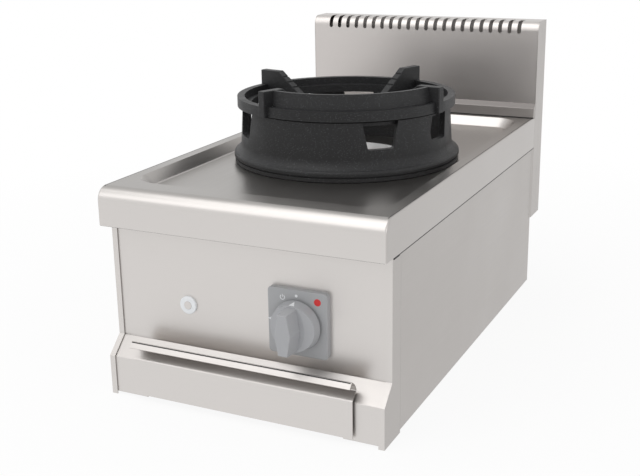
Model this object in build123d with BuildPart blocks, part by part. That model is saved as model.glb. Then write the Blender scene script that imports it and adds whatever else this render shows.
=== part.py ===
from build123d import *
import os
from math import atan2, cos, radians, sin, tan

os.makedirs("parts", exist_ok=True)

# Counter-top gas wok range, in millimetres.
# Frame: X to the right, Y to the back, Z up, origin under the middle of the whole range.
# A setback is a distance behind the front edge of the worktop; at() turns it into Y.

# ---- Driving dimensions ------------------------------------------------------------

# Whole range
body_width = 400.0
worktop_depth = 650.0
flue_depth = 50.0
worktop_height = 287.0
flue_height = 442.0
knob_reach = 24.0            # the knob's grip stands this far in front of the worktop
sheet = 1.0                  # body panels
heavy_sheet = 1.5            # worktop, cheeks and tray front
fold_radius = 1.5            # outside radius of an ordinary fold
seat_gap = 0.2               # between sheets that are laid together
lift_gap = 0.1               # under a casting that only stands on its seat
run_gap = 0.06               # radial, between a turning or sliding shaft and its bore

# Worktop and its well
apron_height = 50.5
roll_radius = 18.0
side_edge_radius = 2.5
well_side_margin = 18.0
well_front_margin = 46.0
well_back_margin = 22.0
well_depth = 14.0
well_inset = 13.0            # how far its sloping wall comes in on the way down
well_corner = 40.0
well_floor_radius = 4.0
burner_hole_radius = 76.5

# Front: plinth, slope, control panel and the cheeks beside them
plinth_bottom = 3.0
slope_bottom = 55.0
slope_top = 78.0
panel_setback = 26.0
cheek_depth = 51.0
cheek_flange = 8.0
plinth_notch = 3.0           # the middle of the plinth is cut up by this much
plinth_notch_margin = 57.0
shelf_flange = 14.0          # folds that stiffen the panels
top_flange = 12.0
screw_radius = 1.9
screw_head = 3.8
screw_head_height = 2.2
screw_length = 5.0
rear_screw_heights = (20.0, 98.0)

# Drip tray
tray_front_margin = 42.0     # from the range's side to the tray front's end
tray_front_gap = 3.6         # between the plinth and the tray front
tray_front_bottom = 8.0
tray_margin = 53.0
tray_rim = 6.0
tray_bottom = 11.0
tray_depth = 35.0
tray_back_margin = 100.0
tray_clearance = 2.0
slide_gap = 0.3
runner_sheet = 1.2
runner_margin = 112.0
pull_foot = (10.2, -10.4)    # the pull's bends: setback, and height above the slope's top
pull_back = (5.3, -1.0)
pull_crest = (-3.8, 6.0)
pull_edge = (-10.7, -1.0)
pull_roundness = 9.0

# Base, feet and gas inlet
foot_radius = 12.0
foot_side_margin = 40.0
foot_front_margin = 70.0
foot_back_margin = 50.0
vent_rows = 6
vent_pitch = 84.0
vent_length = 80.0
vent_width = 4.5
inlet_margin = 60.0
inlet_height = 75.0
inlet_radius = 10.5
inlet_length = 36.0

# Flue
flue_bottom = 116.0
flue_roll = 14.0
flue_cheek_depth = 26.5
flue_rear_fold = 12.0
slot_count = 22
slot_pitch = 16.0
slot_width = 6.5
slot_drop = 19.0             # from the flue's top down to the slots' lower ends
slot_top_end = 28.0          # how far behind the flue's face the slots end
foot_strip_depth = 8.3
foot_strip_height = 16.0
window_margin = 50.0
window_bottom = 140.0
window_top = 230.0

# Wok ring: lower casting
ring_outer = 164.4
ring_height = 80.0
ring_waist = 153.6
ring_top_radius = 150.4
ring_wall = 8.0
notch_bottom = 41.5
notch_width_low = 36.5
notch_width_high = 51.5
notch_corner = 4.0
notch_first = 44.0           # from the middle of the plain front wall
notch_step = 39.3
ring_front_angle = -92.0
foot_inset = 0.9
groove_height = 6.4
groove_width = 1.0
groove_depth = 2.6
bead_height = 11.0           # the foot's upper edge curves in above this
shoulder_height = 15.5
shoulder_inset = 3.4
ring_foot_height = 12.0      # the foot is this tall inside, and flares in above it
ring_waist_height = 29.0
ring_foot_wall = 14.4

# Wok ring: upper casting
band_outer = 157.5
band_inner = 147.0
band_height = 14.0
band_front_outer = 153.5
spigot_gap = 0.6
spigot_depth = 8.0
spigot_wall = 4.3
ledge = 3.3
fin_thickness = 12.0
fin_outer = 159.5
fin_height = 35.4
fin_shoulder = 124.5
fin_tip = 78.0
fin_front_angle = -61.5      # the middle of the wall between the two front fins
fin_front_spread = 50.5
fin_back_spread = 48.0
fin_leg_drop = 37.0
fin_leg_root = 14.0
fin_leg_foot = 10.0
fin_leg_inset = 3.0
fin_chin = 5.0               # the fin's lower front corner is cut off by this much
fin_edge = 1.2               # how far the casting's edges are rounded
grip_notch = 1.6             # radius of the small notches in the fins' slopes
front_wall_drop = 0.4        # the wall between the front fins is this much lower than they are
front_wall = 4.8             # its thickness at the top
front_wall_foot = 8.3        # and at the foot
recess_margin = 1.5          # the cut of the band ends this many degrees past a front fin's middle

# Burner
burner_rise = 4.0            # the cap's top above the floor of the well
cap_radius = 44.0
cap_thickness = 5.0
cap_bevel = 2.0
crown_radius = 48.0
crown_bore = 36.0
crown_height = 8.0
crown_slots = 24
body_neck = 24.0
body_bore = 17.0
tube_height = 215.0
tube_radius = 16.0
tube_wall = 1.6
tube_front = 142.0
mouth_radius = 24.0
bridge_half = 15.0
bridge_gap = 2.5             # between the bridge and the mixing tube's socket
strap = 2.0
pilot_radius = 55.0
collar_rim = 73.0
collar_rise = 5.6
collar_flange = 19.0
collar_sheet = 1.2
collar_drop = 21.0
collar_taper = 7.0
socket_reach = 46.0
socket_wall = 4.0
ear_reach = 38.0
ear_half = 8.0
ear_height = 6.0
bolt_radius = 3.0
bolt_head = 5.0              # half the width across its flats
bolt_head_height = 4.0
bolt_length = 16.0
cone_lip = 8.0
body_inset = 1.0             # the body's rim is this much smaller than the crown
cone_wall = 6.0
body_floor = 8.0
crown_slot_width = 2.0

# Air mixing and gas nozzle
port_radius = 3.6
port_reach = 9.6
port_count = 4
mouth_thickness = 1.5
shutter_thickness = 2.0
nozzle_hole = 5.0
nozzle_radius = 3.8
nozzle_bore = 1.0
nozzle_hexagon = 7.0
nozzle_hexagon_length = 10.0
rail_front = 92.0
rail_drop = 32.0             # from the tube's middle down to the rail
rail_height = 22.0
rail_width = 30.0
block_front = 100.0
block_depth = 17.0
block_half = 11.0

# Pilot, flame sensor and spark
pilot_angles = {"sensor": -150, "pilot": -132, "spark": -114}
pilot_shafts = {"sensor": 3.0, "pilot": 4.0, "spark": 3.4}
pilot_depths = {"sensor": 10.0, "pilot": 6.0, "spark": 12.0}
bracket_reach = 62.0
bracket_start = -160.0
bracket_sweep = 56.0
pilot_hood = 1.5
pilot_hood_height = 6.0
spark_wire = 1.0

# Controls
knob_x = 76.0
knob_z = 136.5
knob_radius = 32.5
knob_front_radius = 29.5
knob_push = 3.5
knob_gap = 0.5               # left between the knob and the dial when it is pushed in
knob_wall = 3.0
facet_start = 18.0           # the knob's face slopes back outside a curved crease this far out
facet_radius = 44.0
facet_drop = 3.5
grip_half_length = 27.6
grip_middle = 12.2
grip_end = 7.4
grip_draft = 1.4
grip_edge = 0.8
dial_width = 81.0
dial_height = 86.0
dial_lift = 1.5              # the plate's middle is this far above the knob's axis
dial_thickness = 8.0
dial_corner = 5.0
dial_edge = 1.0
spindle_radius = 4.0
spindle_flat = 2.6
igniter_x = -85.4
igniter_z = 135.2
igniter_ring_radius = 12.1
igniter_ring_thickness = 3.0
igniter_neck = 8.5
igniter_neck_length = 10.0
igniter_nut_half = 11.5
igniter_nut_thickness = 4.0
button_radius = 5.5
button_travel = 4.0
button_rise = 0.4
button_edge = 0.5
piezo_radius = 9.5
piezo_end = 78.0
plug_length = 6.0

# Gas tap, inlet nut, pipes and leads
tap_flange = 3.0
tap_back = 84.0
tap_ports = 62.0
pilot_port = 72.0
pilot_boss = 4.0
tap_radius = 13.0
tap_screw_reach = 16.0
boss_radius = 8.5
boss_reach = 22.0
bush_end = 40.0
chamber_radius = 6.6
chamber_end = 76.0
plunger_front = 50.0
plunger_end = 66.0
spindle_end = 58.0
inlet_nut = 12.0
inlet_hexagon = 14.5
pipe_wall = 1.0
supply_radius = 6.0
supply_turn = 50.0
supply_bend = 20.0
burner_pipe_radius = 4.0
burner_bend = 14.0
pilot_pipe_radius = 2.0
pilot_pipe_level = 112.0
pilot_bend = 16.0
sensor_lead_radius = 1.3
sensor_lead_level = 100.0
lead_radius = 2.0
lead_rise = 14.0
lead_bend = 22.0

# ---- Places that follow from them --------------------------------------------------

front_y = (knob_reach - worktop_depth - flue_depth) / 2
half_width = body_width / 2
apron_bottom = worktop_height - apron_height
worktop_under = worktop_height - heavy_sheet
ceiling = worktop_under - seat_gap                       # top of everything under it
panel_outer = half_width - heavy_sheet - seat_gap        # outer face of the side panels
panel_inner = panel_outer - sheet
cheek_inner = panel_outer - heavy_sheet
front_half = cheek_inner - seat_gap                      # half width of the front sheets
plinth_setback = heavy_sheet + seat_gap
cheek_step = panel_setback - plinth_setback              # how far the cheek steps back
slope_lean = atan2(cheek_step, slope_top - slope_bottom)
knee_drop = plinth_setback * tan(slope_lean / 2)         # the sheets behind the cheek bend lower
plinth_knee = slope_bottom - knee_drop
plinth_top = slope_top - knee_drop
rear_face = worktop_depth
base_level = plinth_bottom + sheet
base_top = base_level + sheet
well_floor = worktop_height - well_depth
well_length = worktop_depth - well_front_margin - well_back_margin
burner_setback = well_front_margin + well_length / 2
flue_face = worktop_depth + seat_gap
flue_back = worktop_depth + flue_depth
flue_half = half_width - sheet - seat_gap
window_half = half_width - window_margin
foot_x = half_width - foot_side_margin
foot_setbacks = (foot_front_margin, worktop_depth - foot_back_margin)
inlet_x = half_width - inlet_margin
plinth_notch_half = half_width - plinth_notch_margin
tray_front_half = half_width - tray_front_margin
tray_half = half_width - tray_margin
tray_length = worktop_depth - tray_back_margin
bridge_top = tube_height - tube_radius - socket_wall - bridge_gap
rail_top = tube_height - rail_drop


def at(setback):
    """Y of a point this far behind the front edge of the worktop."""
    return front_y + setback


def side_points(*pairs):
    """Points of a side view, given as setback and height."""
    return [(at(setback), height) for setback, height in pairs]


burner_y = at(burner_setback)
burner_axis = Axis((0, burner_y, 0), (0, 0, 1))


def save(piece, label):
    """Name a finished piece and write it."""
    piece.part.label = label
    export_step(piece.part, f"parts/{label}.step")


def rod_along_z(x, setback, radius, z, mode=Mode.ADD):
    """An upright round bar between two heights."""
    with BuildSketch(Plane.XY.offset(z[0])) as section:
        with Locations((x, at(setback))):
            Circle(radius)
    extrude(section.sketch, amount=z[1] - z[0], mode=mode)


def side_sheet(start_x, width, path, radii, thickness, side):
    """A folded sheet seen from the side: one face's path, its fold radii, its thickness."""
    with BuildSketch(Plane.YZ.offset(start_x)) as section:
        with BuildLine():
            FilletPolyline(*side_points(*path), radius=radii)
            offset(amount=thickness, side=side)
        make_face()
    extrude(section.sketch, amount=width)


def side_plate(start_x, width, outline):
    """A flat plate seen from the side, with its outline as setbacks and heights."""
    with BuildSketch(Plane.YZ.offset(start_x)) as section:
        with BuildLine():
            Polyline(*side_points(*outline), close=True)
        make_face()
    extrude(section.sketch, amount=width)


def block(x, setback, z, mode=Mode.ADD):
    """A block between two values of X, of setback and of Z."""
    centre = ((x[0] + x[1]) / 2, at((setback[0] + setback[1]) / 2), (z[0] + z[1]) / 2)
    with Locations(centre):
        Box(x[1] - x[0], setback[1] - setback[0], z[1] - z[0], mode=mode)


def turned(outline, base=0.0, mode=Mode.ADD, start=0.0, sweep=360.0):
    """A solid turned about the burner's axis from points of radius and height."""
    toward = (cos(radians(start)), sin(radians(start)), 0)
    across = (sin(radians(start)), -cos(radians(start)), 0)
    with BuildSketch(Plane(origin=(0, burner_y, base), x_dir=toward, z_dir=across)) as section:
        with BuildLine():
            Polyline(*outline, close=True)
        make_face()
    revolve(section.sketch, axis=burner_axis, revolution_arc=sweep, mode=mode)


def rod_along_y(x, z, radius, setback, mode=Mode.ADD):
    """A round bar lying along Y between two setbacks."""
    with BuildSketch(Plane.XZ.offset(-at(setback[0]))) as section:
        with Locations((x, z)):
            Circle(radius)
    extrude(section.sketch, amount=setback[0] - setback[1], mode=mode)


def pipe(path, radius, bends):
    """A round tube or lead along straight runs joined by arcs."""
    with BuildLine() as route:
        FilletPolyline(*path, radius=bends)
    with BuildSketch(Plane(origin=route.line @ 0, z_dir=route.line % 0)) as section:
        Circle(radius)
    sweep(section.sketch, path=route.line)


# ---- Worktop -----------------------------------------------------------------------

draft = atan2(well_inset, well_depth)
wall_growth = heavy_sheet / cos(draft)


def well_solid(grow_top, grow_bottom, floor, mode):
    """The well's hollow, grown all round by these amounts at the top and at the floor."""
    outlines = []
    for level, inset, grow in ((worktop_height, 0, grow_top), (floor, well_inset, grow_bottom)):
        with BuildSketch(Plane.XY.offset(level)) as outline:
            with Locations((0, burner_y)):
                RectangleRounded(
                    body_width - 2 * (well_side_margin + inset - grow),
                    well_length - 2 * (inset - grow),
                    well_corner - inset + grow,
                )
        outlines.append(outline.sketch)
    loft(outlines, mode=mode)


with BuildPart() as worktop:
    for wall, mode in ((0, Mode.ADD), (heavy_sheet, Mode.SUBTRACT)):
        top = worktop_height - wall
        with BuildSketch(Plane.YZ.offset(wall - half_width)):
            with BuildLine():
                FilletPolyline(
                    *side_points((wall, apron_bottom), (wall, top), (worktop_depth, top)),
                    radius=roll_radius - wall,
                )
                Polyline(
                    *side_points(
                        (worktop_depth, top),
                        (worktop_depth, apron_bottom),
                        (wall, apron_bottom),
                    )
                )
            make_face()
        extrude(amount=body_width - 2 * wall, mode=mode)
        if mode == Mode.ADD:
            fillet(edges().filter_by(Axis.Y).group_by(Axis.Z)[-1], side_edge_radius)
    well_solid(wall_growth, wall_growth - heavy_sheet * tan(draft), well_floor - heavy_sheet, Mode.ADD)
    well_solid(0, 0, well_floor, Mode.SUBTRACT)
    floor_face = faces().filter_by(Axis.Z).filter_by(
        lambda face: abs(face.center().Z - well_floor) < 0.01
    )[0]
    fillet(floor_face.edges(), well_floor_radius)
    with Locations((0, burner_y, well_floor)):
        Hole(burner_hole_radius, depth=3 * heavy_sheet)
save(worktop, "worktop")


# ---- Side panels, cheeks and front sheets ------------------------------------------

screw_hole = screw_radius + run_gap
rear_screw_x = panel_inner - shelf_flange / 2
sheet_end = rear_face - sheet                 # the side panels stop at the rear panel

for name, side, inward in (("right", 1, Side.LEFT), ("left", -1, Side.RIGHT)):
    with BuildPart() as side_panel:
        with BuildSketch(Plane.XZ.offset(-at(cheek_depth + seat_gap))):
            with BuildLine():
                FilletPolyline(
                    (side * (panel_outer - shelf_flange), plinth_bottom),
                    (side * panel_outer, plinth_bottom),
                    (side * panel_outer, ceiling),
                    (side * (panel_outer - top_flange), ceiling),
                    radius=[fold_radius, fold_radius],
                )
                offset(amount=sheet, side=inward)
            make_face()
        extrude(amount=cheek_depth + seat_gap - sheet_end)
        rear_fold = sorted((side * (panel_inner - shelf_flange), side * (panel_inner + sheet / 2)))
        block(rear_fold, (sheet_end - sheet, sheet_end), (base_top + seat_gap, ceiling))
        for height in rear_screw_heights:
            rod_along_y(side * rear_screw_x, height, screw_hole,
                        (sheet_end - 3 * sheet, sheet_end + sheet), Mode.SUBTRACT)
    save(side_panel, f"side_panel_{name}")

    with BuildPart() as cheek:
        side_plate(
            cheek_inner if side > 0 else -panel_outer,
            heavy_sheet,
            (
                (0, 0),
                (0, slope_bottom),
                (cheek_step, slope_top),
                (cheek_step, ceiling),
                (cheek_depth, ceiling),
                (cheek_depth, 0),
            ),
        )
        side_sheet(
            panel_outer - cheek_flange if side > 0 else -panel_outer,
            cheek_flange,
            ((0, 0), (0, slope_bottom), (cheek_step, slope_top), (cheek_step, ceiling)),
            [fold_radius / 3, fold_radius / 3],
            heavy_sheet,
            Side.RIGHT,
        )
    save(cheek, f"front_cheek_{name}")

with BuildPart() as plinth_front:
    side_sheet(
        -front_half,
        2 * front_half,
        (
            (plinth_setback + shelf_flange, plinth_bottom),
            (plinth_setback, plinth_bottom),
            (plinth_setback, plinth_knee),
            (panel_setback, plinth_top),
            (panel_setback + shelf_flange, plinth_top),
        ),
        [fold_radius, fold_radius, fold_radius / 2],
        sheet,
        Side.RIGHT,
    )
    block(
        (-plinth_notch_half, plinth_notch_half),
        (0, plinth_setback + shelf_flange + sheet),
        (0, plinth_bottom + plinth_notch),
        Mode.SUBTRACT,
    )
    tray_way = tray_half + tray_rim + tray_clearance
    block(
        (-tray_way, tray_way),
        (0, plinth_setback + 2 * sheet),
        (tray_bottom - tray_clearance / 2, tray_bottom + tray_depth + tray_clearance),
        Mode.SUBTRACT,
    )
save(plinth_front, "plinth_front")

panel_rear = panel_setback + sheet
spindle_hole = spindle_radius + tap_flange
igniter_hole = igniter_neck + seat_gap

with BuildPart() as control_panel:
    side_sheet(
        -front_half,
        2 * front_half,
        (
            (panel_setback + top_flange, plinth_top + seat_gap),
            (panel_setback, plinth_top + seat_gap),
            (panel_setback, ceiling),
            (panel_setback + top_flange, ceiling),
        ),
        [fold_radius, fold_radius],
        sheet,
        Side.RIGHT,
    )
    drilled = (panel_setback - sheet, panel_rear + sheet)
    rod_along_y(knob_x, knob_z, spindle_hole, drilled, Mode.SUBTRACT)
    rod_along_y(igniter_x, igniter_z, igniter_hole, drilled, Mode.SUBTRACT)
    for reach in (-tap_screw_reach, tap_screw_reach):
        rod_along_y(knob_x + reach, knob_z, screw_hole, drilled, Mode.SUBTRACT)
save(control_panel, "control_panel")

# ---- Base, feet, rear panel ---------------------------------------------------------

with BuildPart() as base_plate:
    base_ends = (plinth_setback + fold_radius + seat_gap, sheet_end - sheet - seat_gap)
    block((-front_half, front_half), base_ends, (base_level, base_top))
    with BuildSketch(Plane.XY.offset(base_top)) as vents:
        with Locations((0, burner_y)):
            with GridLocations(2 * vent_length, vent_pitch, 2, vent_rows):
                SlotOverall(vent_length, vent_width)
    extrude(vents.sketch, amount=-2 * sheet, mode=Mode.SUBTRACT)
save(base_plate, "base_plate")

with BuildPart() as foot_pads:
    for x in (-foot_x, foot_x):
        for setback in foot_setbacks:
            rod_along_z(x, setback, foot_radius, (0, base_level))
save(foot_pads, "foot_pads")

with BuildPart() as rear_panel:
    block((-panel_outer, panel_outer), (sheet_end, rear_face), (plinth_bottom, ceiling))
    drilled = (sheet_end - sheet, rear_face + sheet)
    block((-window_half, window_half), drilled, (window_bottom, window_top), Mode.SUBTRACT)
    rod_along_y(inlet_x, inlet_height, inlet_radius + seat_gap, drilled, Mode.SUBTRACT)
    for x in (-rear_screw_x, rear_screw_x):
        for height in rear_screw_heights:
            rod_along_y(x, height, screw_hole, drilled, Mode.SUBTRACT)
save(rear_panel, "rear_panel")

with BuildPart() as rear_screws:
    for x in (-rear_screw_x, rear_screw_x):
        for height in rear_screw_heights:
            rod_along_y(x, height, screw_radius, (rear_face - screw_length, rear_face))
            rod_along_y(x, height, screw_head, (rear_face, rear_face + screw_head_height))
save(rear_screws, "rear_screws")

# ---- Flue ----------------------------------------------------------------------------

with BuildPart() as slot_cutter:
    slot_low = flue_height - slot_drop + slot_width / 2
    slot_back = flue_face + slot_top_end - slot_width / 2
    side_plate(
        -slot_width / 2,
        slot_width,
        (
            (flue_face - sheet, slot_low),
            (flue_face - sheet, flue_height + sheet),
            (slot_back, flue_height + sheet),
            (slot_back, flue_height - 2 * sheet),
            (flue_face + flue_roll / 2, slot_low),
        ),
    )
    rod_along_y(0, slot_low, slot_width / 2, (flue_face - sheet, flue_face + 2 * sheet))
    rod_along_z(0, slot_back, slot_width / 2, (flue_height - 2 * sheet, flue_height + sheet))

with BuildPart() as flue_front:
    side_sheet(
        -flue_half,
        2 * flue_half,
        (
            (flue_face, worktop_height + seat_gap),
            (flue_face, flue_height),
            (flue_back, flue_height),
            (flue_back, flue_height - flue_rear_fold),
        ),
        [flue_roll, fold_radius],
        sheet,
        Side.RIGHT,
    )
    with GridLocations(slot_pitch, 1, slot_count, 1):
        add(slot_cutter.part, mode=Mode.SUBTRACT)
save(flue_front, "flue_front")

for name, start_x in (("right", half_width - sheet), ("left", -half_width)):
    with BuildPart() as flue_cheek:
        with BuildSketch(Plane.YZ.offset(start_x)):
            with BuildLine():
                FilletPolyline(
                    *side_points(
                        (flue_face, flue_bottom),
                        (flue_face, flue_height),
                        (flue_face + flue_cheek_depth, flue_height),
                    ),
                    radius=flue_roll,
                )
                Polyline(
                    *side_points(
                        (flue_face + flue_cheek_depth, flue_height),
                        (flue_face + flue_cheek_depth, flue_bottom),
                        (flue_face, flue_bottom),
                    )
                )
            make_face()
        extrude(amount=sheet)
    save(flue_cheek, f"flue_cheek_{name}")

cover_back = flue_back - sheet - seat_gap        # outer face of the cover's back

with BuildPart() as flue_cover:
    block((-half_width, half_width), (cover_back - sheet, cover_back),
          (flue_bottom, flue_height - sheet - seat_gap))
    for x in ((-half_width, sheet - half_width), (half_width - sheet, half_width)):
        block(x, (flue_face + flue_cheek_depth + seat_gap, flue_back), (flue_bottom, flue_height))
save(flue_cover, "flue_cover")

with BuildPart() as flue_floor:
    block((-flue_half, flue_half), (flue_face, cover_back - sheet - seat_gap),
          (flue_bottom, flue_bottom + sheet))
    block((-flue_half, flue_half), (flue_face, flue_face + sheet),
          (flue_bottom, flue_bottom + top_flange))
save(flue_floor, "flue_floor")

with BuildPart() as flue_foot_strip:
    side_sheet(
        seat_gap - half_width,
        body_width - 2 * seat_gap,
        (
            (worktop_depth - sheet, worktop_height),
            (worktop_depth - foot_strip_depth, worktop_height),
            (worktop_depth - foot_strip_depth, worktop_height + foot_strip_height),
            (worktop_depth - sheet, worktop_height + foot_strip_height + foot_strip_depth - sheet),
        ),
        [fold_radius / 2, fold_radius],
        sheet,
        Side.RIGHT,
    )
save(flue_foot_strip, "flue_foot_strip")

# ---- Drip tray -----------------------------------------------------------------------

tray_face_rear = plinth_setback - tray_front_gap
rim_top = tray_bottom + tray_depth
rim_low = rim_top - sheet

with BuildPart() as tray_front:
    side_sheet(
        -tray_front_half,
        2 * tray_front_half,
        (
            (tray_face_rear, tray_front_bottom),
            (tray_face_rear, slope_bottom + tray_clearance),
            *((setback, slope_top + rise) for setback, rise in (pull_foot, pull_back, pull_crest, pull_edge)),
        ),
        [2 * fold_radius, 2 * fold_radius, pull_roundness, fold_radius],
        heavy_sheet,
        Side.LEFT,
    )
save(tray_front, "tray_front")

with BuildPart() as tray_pan:
    tray_end = tray_face_rear + tray_length
    block((-tray_half, tray_half), (tray_face_rear, tray_end), (tray_bottom, rim_top))
    block((sheet - tray_half, tray_half - sheet), (tray_face_rear + sheet, tray_end - sheet),
          (tray_bottom + sheet, rim_top + sheet), Mode.SUBTRACT)
    rim_start = plinth_setback + 2 * sheet + tray_clearance
    for x in ((-tray_half - tray_rim, -tray_half), (tray_half, tray_half + tray_rim)):
        block(x, (rim_start, tray_end), (rim_low, rim_top))
save(tray_pan, "tray_pan")

for name, side in (("right", 1), ("left", -1)):
    with BuildPart() as tray_runner:
        lip = side * (tray_half + tray_clearance / 2)
        web = side * (tray_half + tray_rim + tray_clearance / 2)
        back = web + side * runner_sheet
        foot = back + side * shelf_flange
        runner_start = plinth_setback + 2 * sheet + seat_gap
        run = (runner_start, worktop_depth - runner_margin)
        roof = rim_top + slide_gap + runner_sheet
        block(sorted((lip, back)), run, (rim_low - slide_gap - runner_sheet, rim_low - slide_gap))
        block(sorted((lip, back)), run, (rim_top + slide_gap, roof))
        block(sorted((web, back)), run, (base_top, roof))
        block(sorted((web, foot)), run, (base_top, base_top + runner_sheet))
    save(tray_runner, f"tray_runner_{name}")

# ---- Wok ring --------------------------------------------------------------------------

ring_seat = well_floor + lift_gap
band_seat = ring_seat + ring_height + lift_gap
ring_bore_top = ring_top_radius - ring_wall
ring_bore_low = ring_waist - ring_wall
ring_foot_bore = ring_outer - ring_foot_wall
notch_places = [notch_first + notch_step * count for count in range(4)]
notch_angles = [ring_front_angle + sign * place for place in notch_places for sign in (-1, 1)]

with BuildPart() as ring_notch:
    with BuildSketch(Plane(origin=(ring_bore_top - ring_wall, 0, 0), x_dir=(0, 1, 0), z_dir=(1, 0, 0))):
        with BuildLine():
            widen = (notch_width_high - notch_width_low) / 2 / (ring_height - notch_bottom)
            over = ring_height + ring_wall
            Polyline(
                (-notch_width_low / 2, notch_bottom),
                (notch_width_low / 2, notch_bottom),
                (notch_width_low / 2 + widen * (over - notch_bottom), over),
                (-notch_width_low / 2 - widen * (over - notch_bottom), over),
                close=True,
            )
        make_face()
        fillet(vertices().group_by(Axis.Y)[0], notch_corner)
    extrude(amount=4 * ring_wall)

with BuildPart() as wok_ring_base:
    with BuildSketch(Plane(origin=(0, burner_y, ring_seat), x_dir=(1, 0, 0), z_dir=(0, -1, 0))):
        with BuildLine():
            foot_inner = (ring_foot_bore, 0)
            bead = (ring_outer, bead_height)
            shoulder = (ring_outer - shoulder_inset, shoulder_height)
            Polyline(
                foot_inner,
                (ring_outer - 2 * foot_inset, 0),
                (ring_outer - foot_inset, foot_inset),
                (ring_outer - foot_inset, groove_height - foot_inset / 2),
                (ring_outer - groove_depth, groove_height),
                (ring_outer - groove_depth, groove_height + groove_width),
                (ring_outer, groove_height + 2 * groove_width),
                bead,
            )
            TangentArc(bead, shoulder, tangent=(0, 1))
            TangentArc((ring_waist, ring_waist_height), shoulder, tangent=(0, -1))
            Polyline(
                (ring_waist, ring_waist_height),
                (ring_top_radius, ring_height),
                (ring_bore_top, ring_height),
                (ring_bore_low, ring_waist_height),
                (ring_foot_bore, ring_foot_height),
                foot_inner,
            )
        make_face()
    revolve(axis=burner_axis)
    for angle in notch_angles:
        with Locations(Location((0, burner_y, ring_seat), (0, 0, angle))):
            add(ring_notch.part, mode=Mode.SUBTRACT)
save(wok_ring_base, "wok_ring_base")

spigot_outer = ring_bore_top - spigot_gap
spigot_inner = spigot_outer - spigot_wall
fin_angles = [fin_front_angle + sign * fin_front_spread for sign in (-1, 1)]
fin_angles += [fin_front_angle + 180 + sign * fin_back_spread for sign in (-1, 1)]
slope_run = fin_shoulder - fin_tip

with BuildPart() as fin:
    with BuildSketch(Plane.XZ):
        with BuildLine():
            Polyline(
                (fin_outer, 0),
                (fin_outer, fin_height),
                (fin_shoulder, fin_height),
                (fin_tip, 0),
                (fin_tip + fin_chin, -fin_chin),
                (spigot_inner - fin_leg_root, -spigot_depth),
                (spigot_outer - fin_leg_foot, -fin_leg_drop),
                (spigot_outer - fin_leg_inset, -fin_leg_drop),
                (spigot_outer, -spigot_depth),
                (spigot_outer, 0),
                close=True,
            )
        make_face()
    extrude(amount=fin_thickness / 2, both=True)
    fillet(edges().filter_by(lambda edge: edge.center().Z > fin_edge), fin_edge)
    for share in (0.22, 0.42, 0.62):
        with Locations((fin_shoulder - share * slope_run, 0, (1 - share) * fin_height)):
            Cylinder(grip_notch, 2 * fin_thickness, rotation=(90, 0, 0), mode=Mode.SUBTRACT)

with BuildPart() as wok_ring_top:
    turned(
        (
            (band_outer, 0),
            (band_outer, band_height),
            (band_inner, band_height),
            (band_inner, ledge),
            (spigot_inner, ledge),
            (spigot_inner, -spigot_depth),
            (spigot_outer, -spigot_depth),
            (spigot_outer, 0),
        ),
        base=band_seat,
    )
    recess_edge = fin_front_spread + recess_margin
    turned(
        (
            (band_front_outer, -1),
            (fin_outer, -1),
            (fin_outer, band_height + 1),
            (band_front_outer, band_height + 1),
        ),
        base=band_seat,
        mode=Mode.SUBTRACT,
        start=fin_front_angle - recess_edge,
        sweep=2 * recess_edge,
    )
    turned(
        (
            (spigot_inner, 0),
            (spigot_inner, fin_height - front_wall_drop),
            (spigot_inner + front_wall, fin_height - front_wall_drop),
            (spigot_inner + front_wall_foot, band_height),
            (spigot_inner + front_wall_foot, 0),
        ),
        base=band_seat,
        start=fin_front_angle - fin_front_spread,
        sweep=2 * fin_front_spread,
    )
    for angle in fin_angles:
        with Locations(Location((0, burner_y, band_seat), (0, 0, angle))):
            add(fin.part)
save(wok_ring_top, "wok_ring_top")

# ---- Burner ------------------------------------------------------------------------------

burner_top = well_floor + burner_rise
cap_under = burner_top - cap_thickness
crown_top = cap_under - lift_gap
crown_under = crown_top - crown_height
body_foot = bridge_top
bracket_level = tube_height + tube_radius + socket_wall + seat_gap
tube_end = burner_setback - body_neck - 1
cone_foot = bracket_level + strap + seat_gap
bolt_hole = bolt_radius + run_gap
ear_top = body_foot + ear_height

with BuildPart() as burner_collar:
    turned(
        (
            (collar_rim + collar_flange, 0),
            (collar_rim + collar_flange, collar_sheet),
            (collar_rim + 2 * collar_sheet, collar_sheet),
            (collar_rim + collar_sheet, collar_rise),
            (collar_rim, collar_rise),
            (collar_rim - collar_taper, -collar_drop),
            (collar_rim - collar_taper + collar_sheet, -collar_drop),
            (collar_rim + collar_sheet, 0),
        ),
        base=well_floor + lift_gap,
    )
save(burner_collar, "burner_collar")

with BuildPart() as burner_body:
    turned(
        (
            (0, body_foot),
            (body_neck, body_foot),
            (body_neck, cone_foot),
            (crown_radius - body_inset, crown_under - cone_lip),
            (crown_radius - body_inset, crown_under),
            (0, crown_under),
        )
    )
    rod_along_y(0, tube_height, tube_radius + socket_wall,
                (burner_setback - socket_reach, burner_setback))
    block((-ear_reach - ear_half, ear_reach + ear_half),
          (burner_setback - ear_half, burner_setback + ear_half), (body_foot, ear_top))
    turned(
        (
            (0, body_foot + body_floor),
            (body_bore, body_foot + body_floor),
            (body_bore, cone_foot + body_inset),
            (crown_radius - body_inset - cone_wall, crown_under - cone_wall),
            (crown_radius - body_inset - cone_wall, crown_under + 1),
            (0, crown_under + 1),
        ),
        mode=Mode.SUBTRACT,
    )
    rod_along_y(0, tube_height, tube_radius + run_gap,
                (burner_setback - socket_reach - 1, tube_end + 1), Mode.SUBTRACT)
    rod_along_y(0, tube_height, tube_radius - tube_wall, (tube_end, burner_setback), Mode.SUBTRACT)
    for x in (-ear_reach, ear_reach):
        rod_along_z(x, burner_setback, bolt_hole, (body_foot - 1, ear_top + 1), Mode.SUBTRACT)
save(burner_body, "burner_body")

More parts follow.
